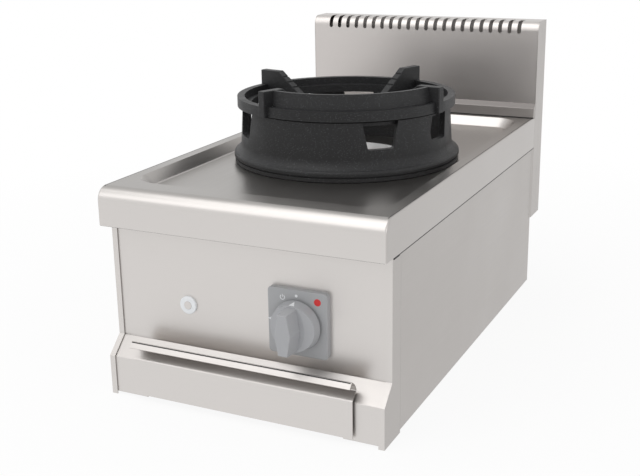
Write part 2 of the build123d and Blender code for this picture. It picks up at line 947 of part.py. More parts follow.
with BuildPart() as burner_crown:
    turned(((crown_bore, crown_under), (crown_radius, crown_under),
            (crown_radius, crown_top), (crown_bore, crown_top)))
    with Locations((0, burner_y, crown_top)):
        with PolarLocations((crown_bore + crown_radius) / 2, crown_slots):
            Box(2 * crown_height, crown_slot_width, crown_height, mode=Mode.SUBTRACT)
save(burner_crown, "burner_crown")

with BuildPart() as burner_cap:
    turned(
        (
            (0, crown_top - crown_height / 4),
            (crown_bore - 2 * seat_gap, crown_top - crown_height / 4),
            (crown_bore - 2 * seat_gap, cap_under),
            (cap_radius, cap_under),
            (cap_radius, burner_top - cap_bevel),
            (cap_radius - 1.5 * cap_bevel, burner_top),
            (0, burner_top),
        )
    )
save(burner_cap, "burner_cap")

with BuildPart() as burner_bridge:
    side_sheet(
        seat_gap - panel_inner,
        2 * (panel_inner - seat_gap),
        (
            (burner_setback - bridge_half, bridge_top - bridge_half),
            (burner_setback - bridge_half, bridge_top),
            (burner_setback + bridge_half, bridge_top),
            (burner_setback + bridge_half, bridge_top - bridge_half),
        ),
        [2 * strap, 2 * strap],
        strap,
        Side.RIGHT,
    )
    for x in (-ear_reach, ear_reach):
        rod_along_z(x, burner_setback, bolt_hole, (bridge_top - 2 * strap, bridge_top + strap),
                    Mode.SUBTRACT)
save(burner_bridge, "burner_bridge")

with BuildPart() as burner_bolts:
    for x in (-ear_reach, ear_reach):
        rod_along_z(x, burner_setback, bolt_radius, (ear_top - bolt_length, ear_top))
        with BuildSketch(Plane.XY.offset(ear_top)) as hexagon:
            with Locations((x, burner_y)):
                RegularPolygon(bolt_head, 6, major_radius=False)
        extrude(hexagon.sketch, amount=bolt_head_height)
save(burner_bolts, "burner_bolts")

# ---- Air mixing and gas nozzle -----------------------------------------------------------

port_turns = [radians(360 / port_count * (number + 0.5)) for number in range(port_count)]
shutter_front = tube_front - shutter_thickness - lift_gap
block_back = block_front + block_depth
block_middle = block_front + block_depth / 2


def ports(setback):
    """The air ports and the nozzle's hole, drilled between two setbacks."""
    rod_along_y(0, tube_height, nozzle_hole, setback, Mode.SUBTRACT)
    for turn in port_turns:
        height = tube_height + port_reach * sin(turn)
        rod_along_y(port_reach * cos(turn), height, port_radius, setback, Mode.SUBTRACT)


with BuildPart() as mixing_tube:
    rod_along_y(0, tube_height, tube_radius, (tube_front, tube_end))
    rod_along_y(0, tube_height, mouth_radius, (tube_front, tube_front + mouth_thickness))
    rod_along_y(0, tube_height, tube_radius - tube_wall,
                (tube_front + mouth_thickness, tube_end + 1), Mode.SUBTRACT)
    ports((tube_front - 1, tube_front + 2 * mouth_thickness))
save(mixing_tube, "mixing_tube")

with BuildPart() as air_shutter:
    skirt_end = tube_front + 2 * mouth_thickness
    rod_along_y(0, tube_height, mouth_radius + mouth_thickness, (shutter_front, skirt_end))
    rod_along_y(0, tube_height, mouth_radius + run_gap,
                (shutter_front + shutter_thickness, skirt_end + 1), Mode.SUBTRACT)
    ports((shutter_front - 1, tube_front))
save(air_shutter, "air_shutter")

with BuildPart() as nozzle_rail:
    side_sheet(
        seat_gap - panel_inner,
        2 * (panel_inner - seat_gap),
        (
            (rail_front, rail_top - rail_height),
            (rail_front, rail_top),
            (rail_front + rail_width, rail_top),
        ),
        [2 * strap],
        strap,
        Side.RIGHT,
    )
save(nozzle_rail, "nozzle_rail")

with BuildPart() as nozzle_block:
    block((-block_half, block_half), (block_front, block_back), (rail_top, tube_height + block_half))
    rod_along_y(0, tube_height, nozzle_radius - nozzle_bore, (block_middle, block_back + 1),
                Mode.SUBTRACT)
save(nozzle_block, "nozzle_block")

with BuildPart() as gas_nozzle:
    with BuildSketch(Plane.XZ.offset(-at(block_back))) as hexagon:
        with Locations((0, tube_height)):
            RegularPolygon(nozzle_hexagon, 6, major_radius=False)
    extrude(hexagon.sketch, amount=-nozzle_hexagon_length)
    nozzle_end = shutter_front + shutter_thickness / 2
    rod_along_y(0, tube_height, nozzle_radius, (block_back, nozzle_end))
    rod_along_y(0, tube_height, nozzle_bore, (block_back - 1, nozzle_end + 1), Mode.SUBTRACT)
save(gas_nozzle, "gas_nozzle")

# ---- Pilot, flame sensor and spark -------------------------------------------------------

pilot_places = {
    label: (
        pilot_radius * cos(radians(angle)),
        burner_setback + pilot_radius * sin(radians(angle)),
    )
    for label, angle in pilot_angles.items()
}
pilot_feet = {label: bracket_level - depth for label, depth in pilot_depths.items()}

with BuildPart() as pilot_bracket:
    turned(
        (
            (body_neck + seat_gap, bracket_level),
            (bracket_reach, bracket_level),
            (bracket_reach, bracket_level + strap),
            (body_neck + seat_gap, bracket_level + strap),
        ),
        start=bracket_start,
        sweep=bracket_sweep,
    )
    for label, place in pilot_places.items():
        rod_along_z(*place, pilot_shafts[label] + run_gap,
                    (bracket_level - 1, bracket_level + 2 * strap), Mode.SUBTRACT)
save(pilot_bracket, "pilot_bracket")

with BuildPart() as pilot_burner:
    place = pilot_places["pilot"]
    shaft = pilot_shafts["pilot"]
    hood_top = crown_under + pilot_hood_height
    rod_along_z(*place, shaft, (pilot_feet["pilot"], crown_under))
    rod_along_z(*place, shaft + pilot_hood, (crown_under, hood_top))
    rod_along_z(*place, shaft - pilot_hood, (crown_under, hood_top + 1), Mode.SUBTRACT)
save(pilot_burner, "pilot_burner")

with BuildPart() as flame_sensor:
    place = pilot_places["sensor"]
    shaft = pilot_shafts["sensor"]
    rod_along_z(*place, shaft, (pilot_feet["sensor"], crown_under))
    rod_along_z(*place, shaft * 2 / 3, (crown_under, crown_top))
save(flame_sensor, "flame_sensor")

with BuildPart() as spark_electrode:
    place = pilot_places["spark"]
    rod_along_z(*place, pilot_shafts["spark"], (pilot_feet["spark"], crown_under))
    rod_along_z(*place, spark_wire, (crown_under, cap_under))
save(spark_electrode, "spark_electrode")

# ---- Gas tap and its pipes -----------------------------------------------------------------

tap_flange_back = panel_rear + tap_flange
plunger_radius = chamber_radius - run_gap
socket_end = spindle_end + seat_gap              # bottom of the plunger's blind hole

with BuildPart() as gas_tap:
    tap_span = tap_screw_reach + screw_head + 1
    block((knob_x - tap_span, knob_x + tap_span), (panel_rear, tap_flange_back),
          (knob_z - tap_radius, knob_z + tap_radius))
    rod_along_y(knob_x, knob_z, tap_radius, (tap_flange_back, tap_back))
    rod_along_z(knob_x, tap_ports, boss_radius, (knob_z - boss_reach, knob_z + boss_reach))
    block((knob_x - boss_reach, knob_x),
          (pilot_port - pilot_boss, pilot_port + pilot_boss),
          (knob_z - pilot_boss, knob_z + pilot_boss))
    rod_along_y(knob_x, knob_z, spindle_radius + run_gap, (panel_setback, bush_end), Mode.SUBTRACT)
    rod_along_y(knob_x, knob_z, chamber_radius, (bush_end, chamber_end), Mode.SUBTRACT)
    for reach in (-tap_screw_reach, tap_screw_reach):
        rod_along_y(knob_x + reach, knob_z, screw_hole, (panel_setback, tap_flange_back + 1),
                    Mode.SUBTRACT)
save(gas_tap, "gas_tap")

with BuildPart() as tap_plunger:
    rod_along_y(knob_x, knob_z, plunger_radius, (plunger_front, plunger_end))
    rod_along_y(knob_x, knob_z, spindle_radius + run_gap, (plunger_front - 1, socket_end),
                Mode.SUBTRACT)
save(tap_plunger, "tap_plunger")

tap_screw_front = panel_setback - screw_head_height
tap_screw_end = tap_flange_back + screw_head_height

with BuildPart() as tap_screws:
    for reach in (-tap_screw_reach, tap_screw_reach):
        rod_along_y(knob_x + reach, knob_z, screw_head, (tap_screw_front, panel_setback))
        rod_along_y(knob_x + reach, knob_z, screw_radius, (panel_setback, tap_screw_end))
save(tap_screws, "tap_screws")

supply_start = sheet_end - inlet_nut * 2 / 3

with BuildPart() as gas_inlet:
    inlet_inside = sheet_end - inlet_nut
    rod_along_y(inlet_x, inlet_height, inlet_radius, (inlet_inside, rear_face + inlet_length))
    for start, length in ((inlet_inside, inlet_nut), (rear_face, inlet_nut / 2)):
        with BuildSketch(Plane.XZ.offset(-at(start))) as hexagon:
            with Locations((inlet_x, inlet_height)):
                RegularPolygon(inlet_hexagon, 6, major_radius=False)
        extrude(hexagon.sketch, amount=-length)
    rod_along_y(inlet_x, inlet_height, supply_radius + run_gap,
                (inlet_inside - 1, supply_start), Mode.SUBTRACT)
    rod_along_y(inlet_x, inlet_height, supply_radius - pipe_wall,
                (inlet_inside, rear_face + inlet_length + 1), Mode.SUBTRACT)
save(gas_inlet, "gas_inlet")

with BuildPart() as supply_pipe:
    pipe(
        (
            (inlet_x, at(supply_start), inlet_height),
            (inlet_x, at(tap_ports + supply_turn), inlet_height),
            (knob_x, at(tap_ports), inlet_height),
            (knob_x, at(tap_ports), knob_z - boss_reach),
        ),
        supply_radius,
        [supply_bend, supply_bend],
    )
save(supply_pipe, "supply_pipe")

burner_pipe_level = tube_height - block_half / 2

with BuildPart() as burner_pipe:
    pipe(
        (
            (knob_x, at(tap_ports), knob_z + boss_reach),
            (knob_x, at(tap_ports), burner_pipe_level),
            (block_half + 3 * burner_bend, at(block_middle), burner_pipe_level),
            (block_half, at(block_middle), burner_pipe_level),
        ),
        burner_pipe_radius,
        [burner_bend, burner_bend],
    )
save(burner_pipe, "burner_pipe")

pilot_x, pilot_setback = pilot_places["pilot"]

with BuildPart() as pilot_pipe:
    pipe(
        (
            (knob_x - boss_reach, at(pilot_port), knob_z),
            (knob_x - 3 * boss_reach, at(pilot_port), knob_z),
            (pilot_x, at(2 * pilot_port), pilot_pipe_level),
            (pilot_x, at(pilot_setback), pilot_pipe_level),
            (pilot_x, at(pilot_setback), pilot_feet["pilot"]),
        ),
        pilot_pipe_radius,
        [pilot_bend, pilot_bend, pilot_bend],
    )
save(pilot_pipe, "pilot_pipe")

sensor_x, sensor_setback = pilot_places["sensor"]

with BuildPart() as sensor_lead:
    pipe(
        (
            (knob_x, at(tap_back), knob_z),
            (knob_x, at(1.5 * tap_back), knob_z),
            (0, at(2.5 * tap_back), sensor_lead_level),
            (sensor_x, at(sensor_setback), sensor_lead_level),
            (sensor_x, at(sensor_setback), pilot_feet["sensor"]),
        ),
        sensor_lead_radius,
        [lead_bend, lead_bend, lead_bend],
    )
save(sensor_lead, "sensor_lead")

# ---- Knob and dial plate --------------------------------------------------------------------

dial_front = panel_setback - dial_thickness
knob_back = dial_front - knob_push - knob_gap
grip_front = -knob_reach


def grip_outline(setback, middle, end, reach):
    """The grip's six-sided outline: half widths in the middle and at the ends, half length."""
    with BuildSketch(Plane.XZ.offset(-at(setback))) as outline:
        with Locations((knob_x, knob_z)):
            Polygon(
                (-end, reach),
                (-middle, 0),
                (-end, -reach),
                (end, -reach),
                (middle, 0),
                (end, reach),
            )
    return outline.sketch


def flatted_section(setback, radius, flat):
    """A round spindle's section with one flat on its upper side."""
    with BuildSketch(Plane.XZ.offset(-at(setback))) as outline:
        with Locations((knob_x, knob_z)):
            Circle(radius)
        with Locations((knob_x, knob_z + flat + radius)):
            Rectangle(2 * radius, 2 * radius, mode=Mode.SUBTRACT)
    return outline.sketch


spindle_front = grip_front + knob_reach / 2

with BuildPart() as dial_plate:
    with BuildSketch(Plane.XZ.offset(-at(panel_setback))):
        with Locations((knob_x, knob_z + dial_lift)):
            RectangleRounded(dial_width, dial_height, dial_corner)
    extrude(amount=dial_thickness)
    fillet(faces().sort_by(Axis.Y)[0].edges(), dial_edge)
    rod_along_y(knob_x, knob_z, spindle_hole, (dial_front - 1, panel_setback + 1), Mode.SUBTRACT)
    for reach in (-tap_screw_reach, tap_screw_reach):
        rod_along_y(knob_x + reach, knob_z, screw_head + seat_gap,
                    (tap_screw_front - seat_gap, panel_setback + 1), Mode.SUBTRACT)
save(dial_plate, "dial_plate")

with BuildPart() as control_knob:
    with BuildSketch(Plane.XZ.offset(-at(knob_back))) as skirt_back:
        with Locations((knob_x, knob_z)):
            Circle(knob_radius)
    with BuildSketch(Plane.XZ.offset(-at(0))) as skirt_front:
        with Locations((knob_x, knob_z)):
            Circle(knob_front_radius)
    loft([skirt_back.sketch, skirt_front.sketch])
    fillet(faces().sort_by(Axis.Y)[0].edges(), dial_edge)
    facet_slope = facet_drop / (knob_radius - facet_start)
    for side in (-1, 1):
        crease_middle = knob_x + side * (facet_start - facet_radius)
        with Locations((crease_middle, at(knob_back / 2), knob_z)):
            Cone(
                facet_radius + (knob_back + 1) / facet_slope,
                facet_radius - 1 / facet_slope,
                knob_back + 2,
                rotation=(90, 0, 0),
                mode=Mode.INTERSECT,
            )
    loft([
        grip_outline(1, grip_middle, grip_end, grip_half_length),
        grip_outline(grip_front, grip_middle - grip_draft, grip_end - grip_draft,
                     grip_half_length - grip_draft),
    ])
    fillet(faces().sort_by(Axis.Y)[0].edges(), grip_edge)
    rod_along_y(knob_x, knob_z, knob_front_radius - knob_wall,
                (facet_drop + knob_wall, knob_back + 1), Mode.SUBTRACT)
    rod_along_y(knob_x, knob_z, 2 * spindle_radius, (facet_drop, knob_back))
    extrude(flatted_section(knob_back, spindle_radius + run_gap, spindle_flat + run_gap),
            amount=knob_back - spindle_front + seat_gap, mode=Mode.SUBTRACT)
save(control_knob, "control_knob")

with BuildPart() as tap_spindle:
    extrude(flatted_section(knob_back, spindle_radius, spindle_flat),
            amount=knob_back - spindle_front)
    rod_along_y(knob_x, knob_z, spindle_radius, (knob_back, spindle_end))
save(tap_spindle, "tap_spindle")

# ---- Push igniter ----------------------------------------------------------------------------

igniter_front = panel_setback - igniter_ring_thickness
neck_end = panel_setback + igniter_neck_length
button_front = igniter_front - button_rise
button_end = neck_end - igniter_ring_thickness
plug_end = piezo_end + plug_length

with BuildPart() as igniter_ring:
    rod_along_y(igniter_x, igniter_z, igniter_ring_radius, (igniter_front, panel_setback))
    fillet(faces().sort_by(Axis.Y)[0].edges(), dial_edge)
    rod_along_y(igniter_x, igniter_z, igniter_neck, (panel_setback, neck_end))
    rod_along_y(igniter_x, igniter_z, button_radius + run_gap,
                (igniter_front - 1, neck_end + 1), Mode.SUBTRACT)
save(igniter_ring, "igniter_ring")

with BuildPart() as igniter_button:
    rod_along_y(igniter_x, igniter_z, button_radius, (button_front, button_end))
    fillet(faces().sort_by(Axis.Y)[0].edges(), button_edge)
save(igniter_button, "igniter_button")

with BuildPart() as igniter_nut:
    with BuildSketch(Plane.XZ.offset(-at(panel_rear))) as hexagon:
        with Locations((igniter_x, igniter_z)):
            RegularPolygon(igniter_nut_half, 6, major_radius=False)
            Circle(igniter_neck + run_gap, mode=Mode.SUBTRACT)
    extrude(hexagon.sketch, amount=-igniter_nut_thickness)
save(igniter_nut, "igniter_nut")

with BuildPart() as spark_unit:
    rod_along_y(igniter_x, igniter_z, piezo_radius, (neck_end + seat_gap, piezo_end))
    rod_along_y(igniter_x, igniter_z, button_radius + seat_gap,
                (neck_end, button_end + button_travel + 1), Mode.SUBTRACT)
    rod_along_y(igniter_x, igniter_z, lead_radius + 1, (piezo_end, plug_end))
save(spark_unit, "spark_unit")

spark_x, spark_setback = pilot_places["spark"]
lead_bow_x = (igniter_x + 2 * spark_x) / 2

with BuildPart() as ignition_lead:
    pipe(
        (
            (igniter_x, at(plug_end), igniter_z),
            (igniter_x, at(2 * piezo_end), igniter_z),
            (lead_bow_x, at(2.75 * piezo_end), igniter_z),
            (spark_x, at(spark_setback), igniter_z + lead_rise),
            (spark_x, at(spark_setback), pilot_feet["spark"]),
        ),
        lead_radius,
        [2 * lead_bend, 2 * lead_bend, lead_bend],
    )
save(ignition_lead, "ignition_lead")
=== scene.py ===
# %% [markdown]
# # A wok range for a kitchen counter
# The range is a folded steel body with a cast ring for a round wok, a low flue behind it,
# one turning knob and one push igniter. The solids come ready made as a fixed frame, so this
# lesson is about how they look: the camera, the light, the finish of every piece, and the
# few thin or small pieces that the solids leave out.

# %% Load the frame
import math
import bmesh
import bpy
from mathutils import Matrix, Vector
from mathutils.bvhtree import BVHTree


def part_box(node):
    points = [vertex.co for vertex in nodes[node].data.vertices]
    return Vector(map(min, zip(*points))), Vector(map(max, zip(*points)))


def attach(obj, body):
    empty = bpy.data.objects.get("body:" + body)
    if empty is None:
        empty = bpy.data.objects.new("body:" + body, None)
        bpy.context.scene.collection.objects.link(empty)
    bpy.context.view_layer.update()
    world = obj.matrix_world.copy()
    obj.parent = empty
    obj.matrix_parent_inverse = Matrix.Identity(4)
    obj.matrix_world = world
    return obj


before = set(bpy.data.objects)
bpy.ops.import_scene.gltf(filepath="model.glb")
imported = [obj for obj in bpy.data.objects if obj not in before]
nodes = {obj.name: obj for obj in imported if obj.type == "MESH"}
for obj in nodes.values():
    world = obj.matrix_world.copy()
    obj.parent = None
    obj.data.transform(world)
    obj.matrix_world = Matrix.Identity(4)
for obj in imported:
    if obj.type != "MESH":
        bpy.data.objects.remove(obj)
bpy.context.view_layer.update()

# %% [markdown]
# ## Camera
# A camera can be placed by eye, or solved from straight edges that meet at right angles on
# the real object. The body here is a plain box, so its edges give the lens and the place
# well, and the solved numbers are written down as they are. The lens shift is small: it only
# moves the picture inside the frame.

# %% Camera
CAMERA_PLACE = Vector((0.62847, -1.39796, 0.62754))
YAW, PITCH, ROLL = -0.4555, 0.2895, -0.0179
LENS_MM, SENSOR_MM = 59.73, 36
SHIFT = (0.0099, -0.0246)


def put_in_scene(thing):
    bpy.context.scene.collection.objects.link(thing)
    return thing


def camera_axes(yaw, pitch, roll):
    """Right, up and backward directions of a camera that looks along +Y at zero angles."""
    ahead = Vector((math.sin(yaw) * math.cos(pitch), math.cos(yaw) * math.cos(pitch),
                    -math.sin(pitch)))
    level = Vector((math.cos(yaw), -math.sin(yaw), 0))
    above = level.cross(ahead)
    right = math.cos(roll) * level + math.sin(roll) * above
    up = math.cos(roll) * above - math.sin(roll) * level
    return right, up, -ahead


lens = bpy.data.cameras.new("camera")
lens.lens, lens.sensor_width = LENS_MM, SENSOR_MM
lens.shift_x, lens.shift_y = SHIFT
lens.clip_start, lens.clip_end = 0.05, 100
turned = Matrix(camera_axes(YAW, PITCH, ROLL)).transposed().to_4x4()
camera = put_in_scene(bpy.data.objects.new("camera", lens))
camera.matrix_world = Matrix.Translation(CAMERA_PLACE) @ turned
bpy.context.scene.camera = camera
bpy.context.scene.view_settings.view_transform = "Standard"
print("camera looks along", [round(-c, 3) for c in turned.col[2][:3]])

# %% [markdown]
# ## Node helpers
# A material is a graph of nodes. Adding and linking nodes takes many words, so small helpers
# do it. One turns a colour as it is seen on a screen into the linear colour that a shader
# works with, and one adds a node and fills its inputs. The next two add the nodes that are
# used most, for sums and for mixed colours, and the last starts a group of nodes.

# %% Node helpers
def seen(red, green, blue):
    """A colour as seen on a screen, 0 to 255, made linear for a shader."""
    def linear(value):
        value /= 255
        return value / 12.92 if value <= 0.04045 else ((value + 0.055) / 1.055) ** 2.4
    return (linear(red), linear(green), linear(blue), 1)


def add(tree, kind, inputs=None, **settings):
    """Adds a node, sets its own settings, and fills or links the inputs that are named."""
    node = tree.nodes.new(kind)
    for name, value in settings.items():
        setattr(node, name, value)
    for name, value in (inputs or {}).items():
        socket = node.inputs[name]
        if isinstance(value, bpy.types.NodeSocket):
            tree.links.new(value, socket)
        else:
            socket.default_value = value
    return node


def calculate(tree, operation, *values):
    """The result of one sum on two or three values."""
    node = add(tree, "ShaderNodeMath", dict(enumerate(values)), operation=operation)
    return node.outputs[0]


def mix_colours(tree, share, first, second, **settings):
    """The first colour at nought, the second at one."""
    node = add(tree, "ShaderNodeMix", {0: share, 6: first, 7: second}, data_type="RGBA", **settings)
    return node.outputs[2]


def new_group(name, kind, inputs, outputs):
    """An empty group with what it is given and what it puts out; an input is a row of a name,
    a kind and a starting value, and an output a row of a name and a kind."""
    group = bpy.data.node_groups.new(name, kind)
    for label, socket_kind, start in inputs:
        socket = group.interface.new_socket(label, in_out="INPUT",
                                            socket_type="NodeSocket" + socket_kind)
        if start is not None:
            socket.default_value = start
    for label, socket_kind in outputs:
        group.interface.new_socket(label, in_out="OUTPUT", socket_type="NodeSocket" + socket_kind)
    start, end = group.nodes.new("NodeGroupInput"), group.nodes.new("NodeGroupOutput")
    return group, start.outputs, end.inputs


print("a screen grey of 188 is", round(seen(188, 188, 188)[0], 3), "in a shader")

# %% [markdown]
# ## Effects that several finishes share
# Rolled steel has fine lines along one direction. They could be an image, but noise that is
# stretched along one axis gives the same look with no picture and no seam. The group puts
# out the line pattern once, and each steel uses it with its own scale and direction.

# %% Shared effect: rolling lines
def rolling_lines():
    group, given, result = new_group(
        "rolling_lines", "ShaderNodeTree",
        [("Vector", "Vector", None), ("Stretch", "Vector", (4, 900, 900)),
         ("Softness", "Float", 0.5)],
        [("Lines", "Float")])
    spread = add(group, "ShaderNodeVectorMath", {0: given["Vector"], 1: given["Stretch"]},
                 operation="MULTIPLY")
    noise = add(group, "ShaderNodeTexNoise",
                {"Vector": spread.outputs[0], "Scale": 1.0, "Detail": 3.0,
                 "Roughness": given["Softness"]})
    group.links.new(noise.outputs["Fac"], result["Lines"])
    return group


LINES = rolling_lines()
print("group", LINES.name, "is ready")

# %% [markdown]
# Handled sheet is never even: it has faint clouds from wiping and from the coil it was cut
# from. One group makes these clouds and maps them between two values, so that they can move
# the roughness of a finish and its colour together.

# %% Shared effect: clouds
def clouds():
    group, given, result = new_group(
        "clouds", "ShaderNodeTree",
        [("Vector", "Vector", None), ("Scale", "Float", 6.0), ("Low", "Float", 0.3),
         ("High", "Float", 0.4), ("Colour A", "Color", None), ("Colour B", "Color", None)],
        [("Value", "Float"), ("Colour", "Color")])
    noise = add(group, "ShaderNodeTexNoise",
                {"Vector": given["Vector"], "Scale": given["Scale"], "Detail": 4.0,
                 "Roughness": 0.55}).outputs["Fac"]
    value = add(group, "ShaderNodeMapRange",
                {"Value": noise, "From Min": 0.3, "From Max": 0.7, "To Min": given["Low"],
                 "To Max": given["High"]})
    colour = mix_colours(group, noise, given["Colour A"], given["Colour B"])
    group.links.new(value.outputs[0], result["Value"])
    group.links.new(colour, result["Colour"])
    return group


CLOUDS = clouds()
print("group", CLOUDS.name, "is ready")

# %% [markdown]
# The sheets are brushed, and each face also carries painted shade by the way it points: the
# top is painted darkest, the sides come next and the front is painted lightest, as the light
# falls on them. The group mixes three tints by the direction of the face, squared, because
# the squares of a direction add up to one.

# %% Shared effect: painted shade by facing
def painted_facing_shade():
    group, given, result = new_group(
        "painted_facing_shade", "ShaderNodeTree",
        [("Facing", "Vector", None), ("Top", "Color", None), ("Front", "Color", None),
         ("Side", "Color", None)],
        [("Colour", "Color")])
    parts = add(group, "ShaderNodeSeparateXYZ", {0: given["Facing"]}).outputs
    sideways = calculate(group, "MULTIPLY", parts["X"], parts["X"])
    upwards = calculate(group, "MULTIPLY", parts["Z"], parts["Z"])
    upright = mix_colours(group, sideways, given["Front"], given["Side"])
    colour = mix_colours(group, upwards, upright, given["Top"])
    group.links.new(colour, result["Colour"])
    return group


FACING_SHADE = painted_facing_shade()
print("group", FACING_SHADE.name, "is ready")

# %% [markdown]
# Cast iron and moulded plastic both have a skin of small bumps. Cast iron also shows pale
# grains where the enamel catches light. A cell pattern gives one dot to each cell, and a
# threshold on the distance keeps only a small round middle. Fewer than half of the cells
# keep their dot, and each dot has its own strength.

# %% Shared effect: skin and grains
GRAINY_CELLS = 0.45


def skin_and_grains():
    group, given, result = new_group(
        "skin_and_grains", "ShaderNodeTree",
        [("Vector", "Vector", None), ("Skin Scale", "Float", 900.0),
         ("Grain Scale", "Float", 420.0), ("Grain Size", "Float", 0.16)],
        [("Height", "Float"), ("Grains", "Float")])
    skin = add(group, "ShaderNodeTexNoise",
               {"Vector": given["Vector"], "Scale": given["Skin Scale"], "Detail": 3.0,
                "Roughness": 0.6})
    cells = add(group, "ShaderNodeTexVoronoi",
                {"Vector": given["Vector"], "Scale": given["Grain Scale"]}).outputs
    chance = add(group, "ShaderNodeSeparateColor", {0: cells["Color"]}).outputs
    dots = calculate(group, "LESS_THAN", cells["Distance"], given["Grain Size"])
    chosen = calculate(group, "LESS_THAN", chance[0], GRAINY_CELLS)
    kept = calculate(group, "MULTIPLY", dots, chosen)
    group.links.new(skin.outputs["Fac"], result["Height"])
    group.links.new(calculate(group, "MULTIPLY", kept, chance[1]), result["Grains"])
    return group


SKIN = skin_and_grains()
print("group", SKIN.name, "is ready")

# %% [markdown]
# ## How each material starts and ends
# Every finish takes its place from the object coordinates, so that a pattern stays on its
# piece when the piece moves. The colour and the roughness come from patterns, while a value
# that is the same all over is set on the shader itself.

# %% Material helpers
def new_material(name):
    """An empty material with a principled shader and the object coordinates to build on."""
    material = bpy.data.materials.new(name)
    material.use_nodes = True
    tree = material.node_tree
    place = add(tree, "ShaderNodeTexCoord").outputs["Object"]
    return material, tree, tree.nodes["Principled BSDF"], place


def use_group(tree, group, inputs):
    """Places a shared effect in a material with its own values."""
    return add(tree, "ShaderNodeGroup", inputs, node_tree=group).outputs


def use_clouds(tree, place, scale, rough, colour_a, colour_b):
    """The clouds between two roughness values and between two colours."""
    return use_group(tree, CLOUDS, {"Vector": place, "Scale": scale, "Low": rough[0],
                                    "High": rough[1], "Colour A": colour_a, "Colour B": colour_b})


def coat(tree, shader, colour, roughness, metal=0.0):
    """Feeds a colour and a roughness to the shader and says how far it is a metal."""
    tree.links.new(colour, shader.inputs["Base Color"])
    tree.links.new(roughness, shader.inputs["Roughness"])
    shader.inputs["Metallic"].default_value = metal


def raise_surface(tree, shader, height, strength, distance):
    """Feeds a height pattern to the shader's normal through a bump."""
    bump = add(tree, "ShaderNodeBump",
               {"Height": height, "Strength": strength, "Distance": distance})
    tree.links.new(bump.outputs["Normal"], shader.inputs["Normal"])


def names_of(*things):
    return [thing.name for thing in things]


print("groups that the finishes share:", names_of(LINES, CLOUDS, FACING_SHADE, SKIN))

# %% [markdown]
# ## Sheet steel
# The body is satin stainless steel. A fully metallic shader takes its brightness from what
# it reflects, so the colour is only the tint of the reflection. The rolling lines move the
# roughness a little and raise the surface by microns, and the clouds keep large faces from
# looking like paper. The lines run across the front and along the sides, so each panel gets
# the direction in which it was cut.

# %% Sheet steel
UNEVEN = ((0.955, 0.955, 0.955, 1), (1, 1, 1, 1))
LINES_IN_GLOSS = 0.10
LINE_HEIGHT = 0.00006
ALONG_X, ALONG_Y = (5, 1100, 1100), (1100, 5, 1100)
# painted shade: the colour of every steel where its face points sideways
SIDE_PAINTED_SHADE = seen(181, 177, 174)


def sheet_steel(name, top, front, along, rough=(0.30, 0.40), strength=0.10):
    material, tree, shader, place = new_material(name)
    facing = add(tree, "ShaderNodeTexCoord").outputs["Normal"]
    # painted shade: the tint is darker where the face points up and lighter where it points to the
    # front
    tint = use_group(tree, FACING_SHADE,
                     {"Facing": facing, "Top": top, "Front": front, "Side": SIDE_PAINTED_SHADE})["Colour"]
    lines = use_group(tree, LINES, {"Vector": place, "Stretch": along, "Softness": 0.55})["Lines"]
    cloud = use_clouds(tree, place, 5.0, rough, *UNEVEN)
    colour = mix_colours(tree, 1.0, tint, cloud["Colour"], blend_type="MULTIPLY")
    wobble = calculate(tree, "MULTIPLY_ADD", lines, LINES_IN_GLOSS, cloud["Value"])
    coat(tree, shader, colour, wobble, metal=1.0)
    raise_surface(tree, shader, lines, strength, LINE_HEIGHT)
    return material


# Each steel's top and front colours are painted shade by facing, with the side colour above.
front_steel = sheet_steel("front_steel", seen(168, 164, 161), seen(215, 211, 208), ALONG_X)
side_steel = sheet_steel("side_steel", SIDE_PAINTED_SHADE, seen(208, 204, 201), ALONG_Y)
top_steel = sheet_steel("top_steel", seen(162, 159, 156), seen(212, 208, 205), ALONG_Y,
                        rough=(0.24, 0.30), strength=0.03)
flue_steel = sheet_steel("flue_steel", seen(192, 188, 185), seen(204, 199, 196), ALONG_X,
                         rough=(0.30, 0.38))
# The foot strip's steel is painted far darker than the flue's, most of all on its upward faces:
# painted shade and painted reflection of the dark parts in front of it.
strip_painted_shade_steel = sheet_steel("strip_painted_shade_steel", seen(24, 23, 22), seen(172, 167, 164), ALONG_X,
                          rough=(0.42, 0.50))
print("sheet steels:", names_of(front_steel, side_steel, top_steel, flue_steel, strip_painted_shade_steel))

# %% [markdown]
# The floor, rails and brackets inside are zinc coated. Zinc sets in flat crystals, which
# look like a faint patchwork. A cell pattern with no smoothing gives every crystal its own
# shade and its own gloss.

# %% Zinc coated steel
def zinc_steel(name, dark, light, crystals=110.0, gloss=(0.38, 0.58)):
    material, tree, shader, place = new_material(name)
    cells = add(tree, "ShaderNodeTexVoronoi",
                {"Vector": place, "Scale": crystals, "Randomness": 1.0})
    shade = add(tree, "ShaderNodeSeparateColor", {0: cells.outputs["Color"]}).outputs
    rough = add(tree, "ShaderNodeMapRange",
                {"Value": shade[1], "To Min": gloss[0], "To Max": gloss[1]})
    coat(tree, shader, mix_colours(tree, shade[0], dark, light), rough.outputs[0], metal=0.9)
    raise_surface(tree, shader, shade[2], 0.05, 0.0001)
    return material


zinc = zinc_steel("zinc_steel", seen(150, 153, 156), seen(176, 178, 180))
print("zinc steel:", zinc.name)

# %% [markdown]
# The collar and the cap of the burner are turned and polished, so they carry fine rings
# around their middle instead of straight lines. A wave pattern in ring mode around the
# burner's axis draws them.

# %% Turned metals
BURNER_AXIS = (0.0, -0.001, 0.0)


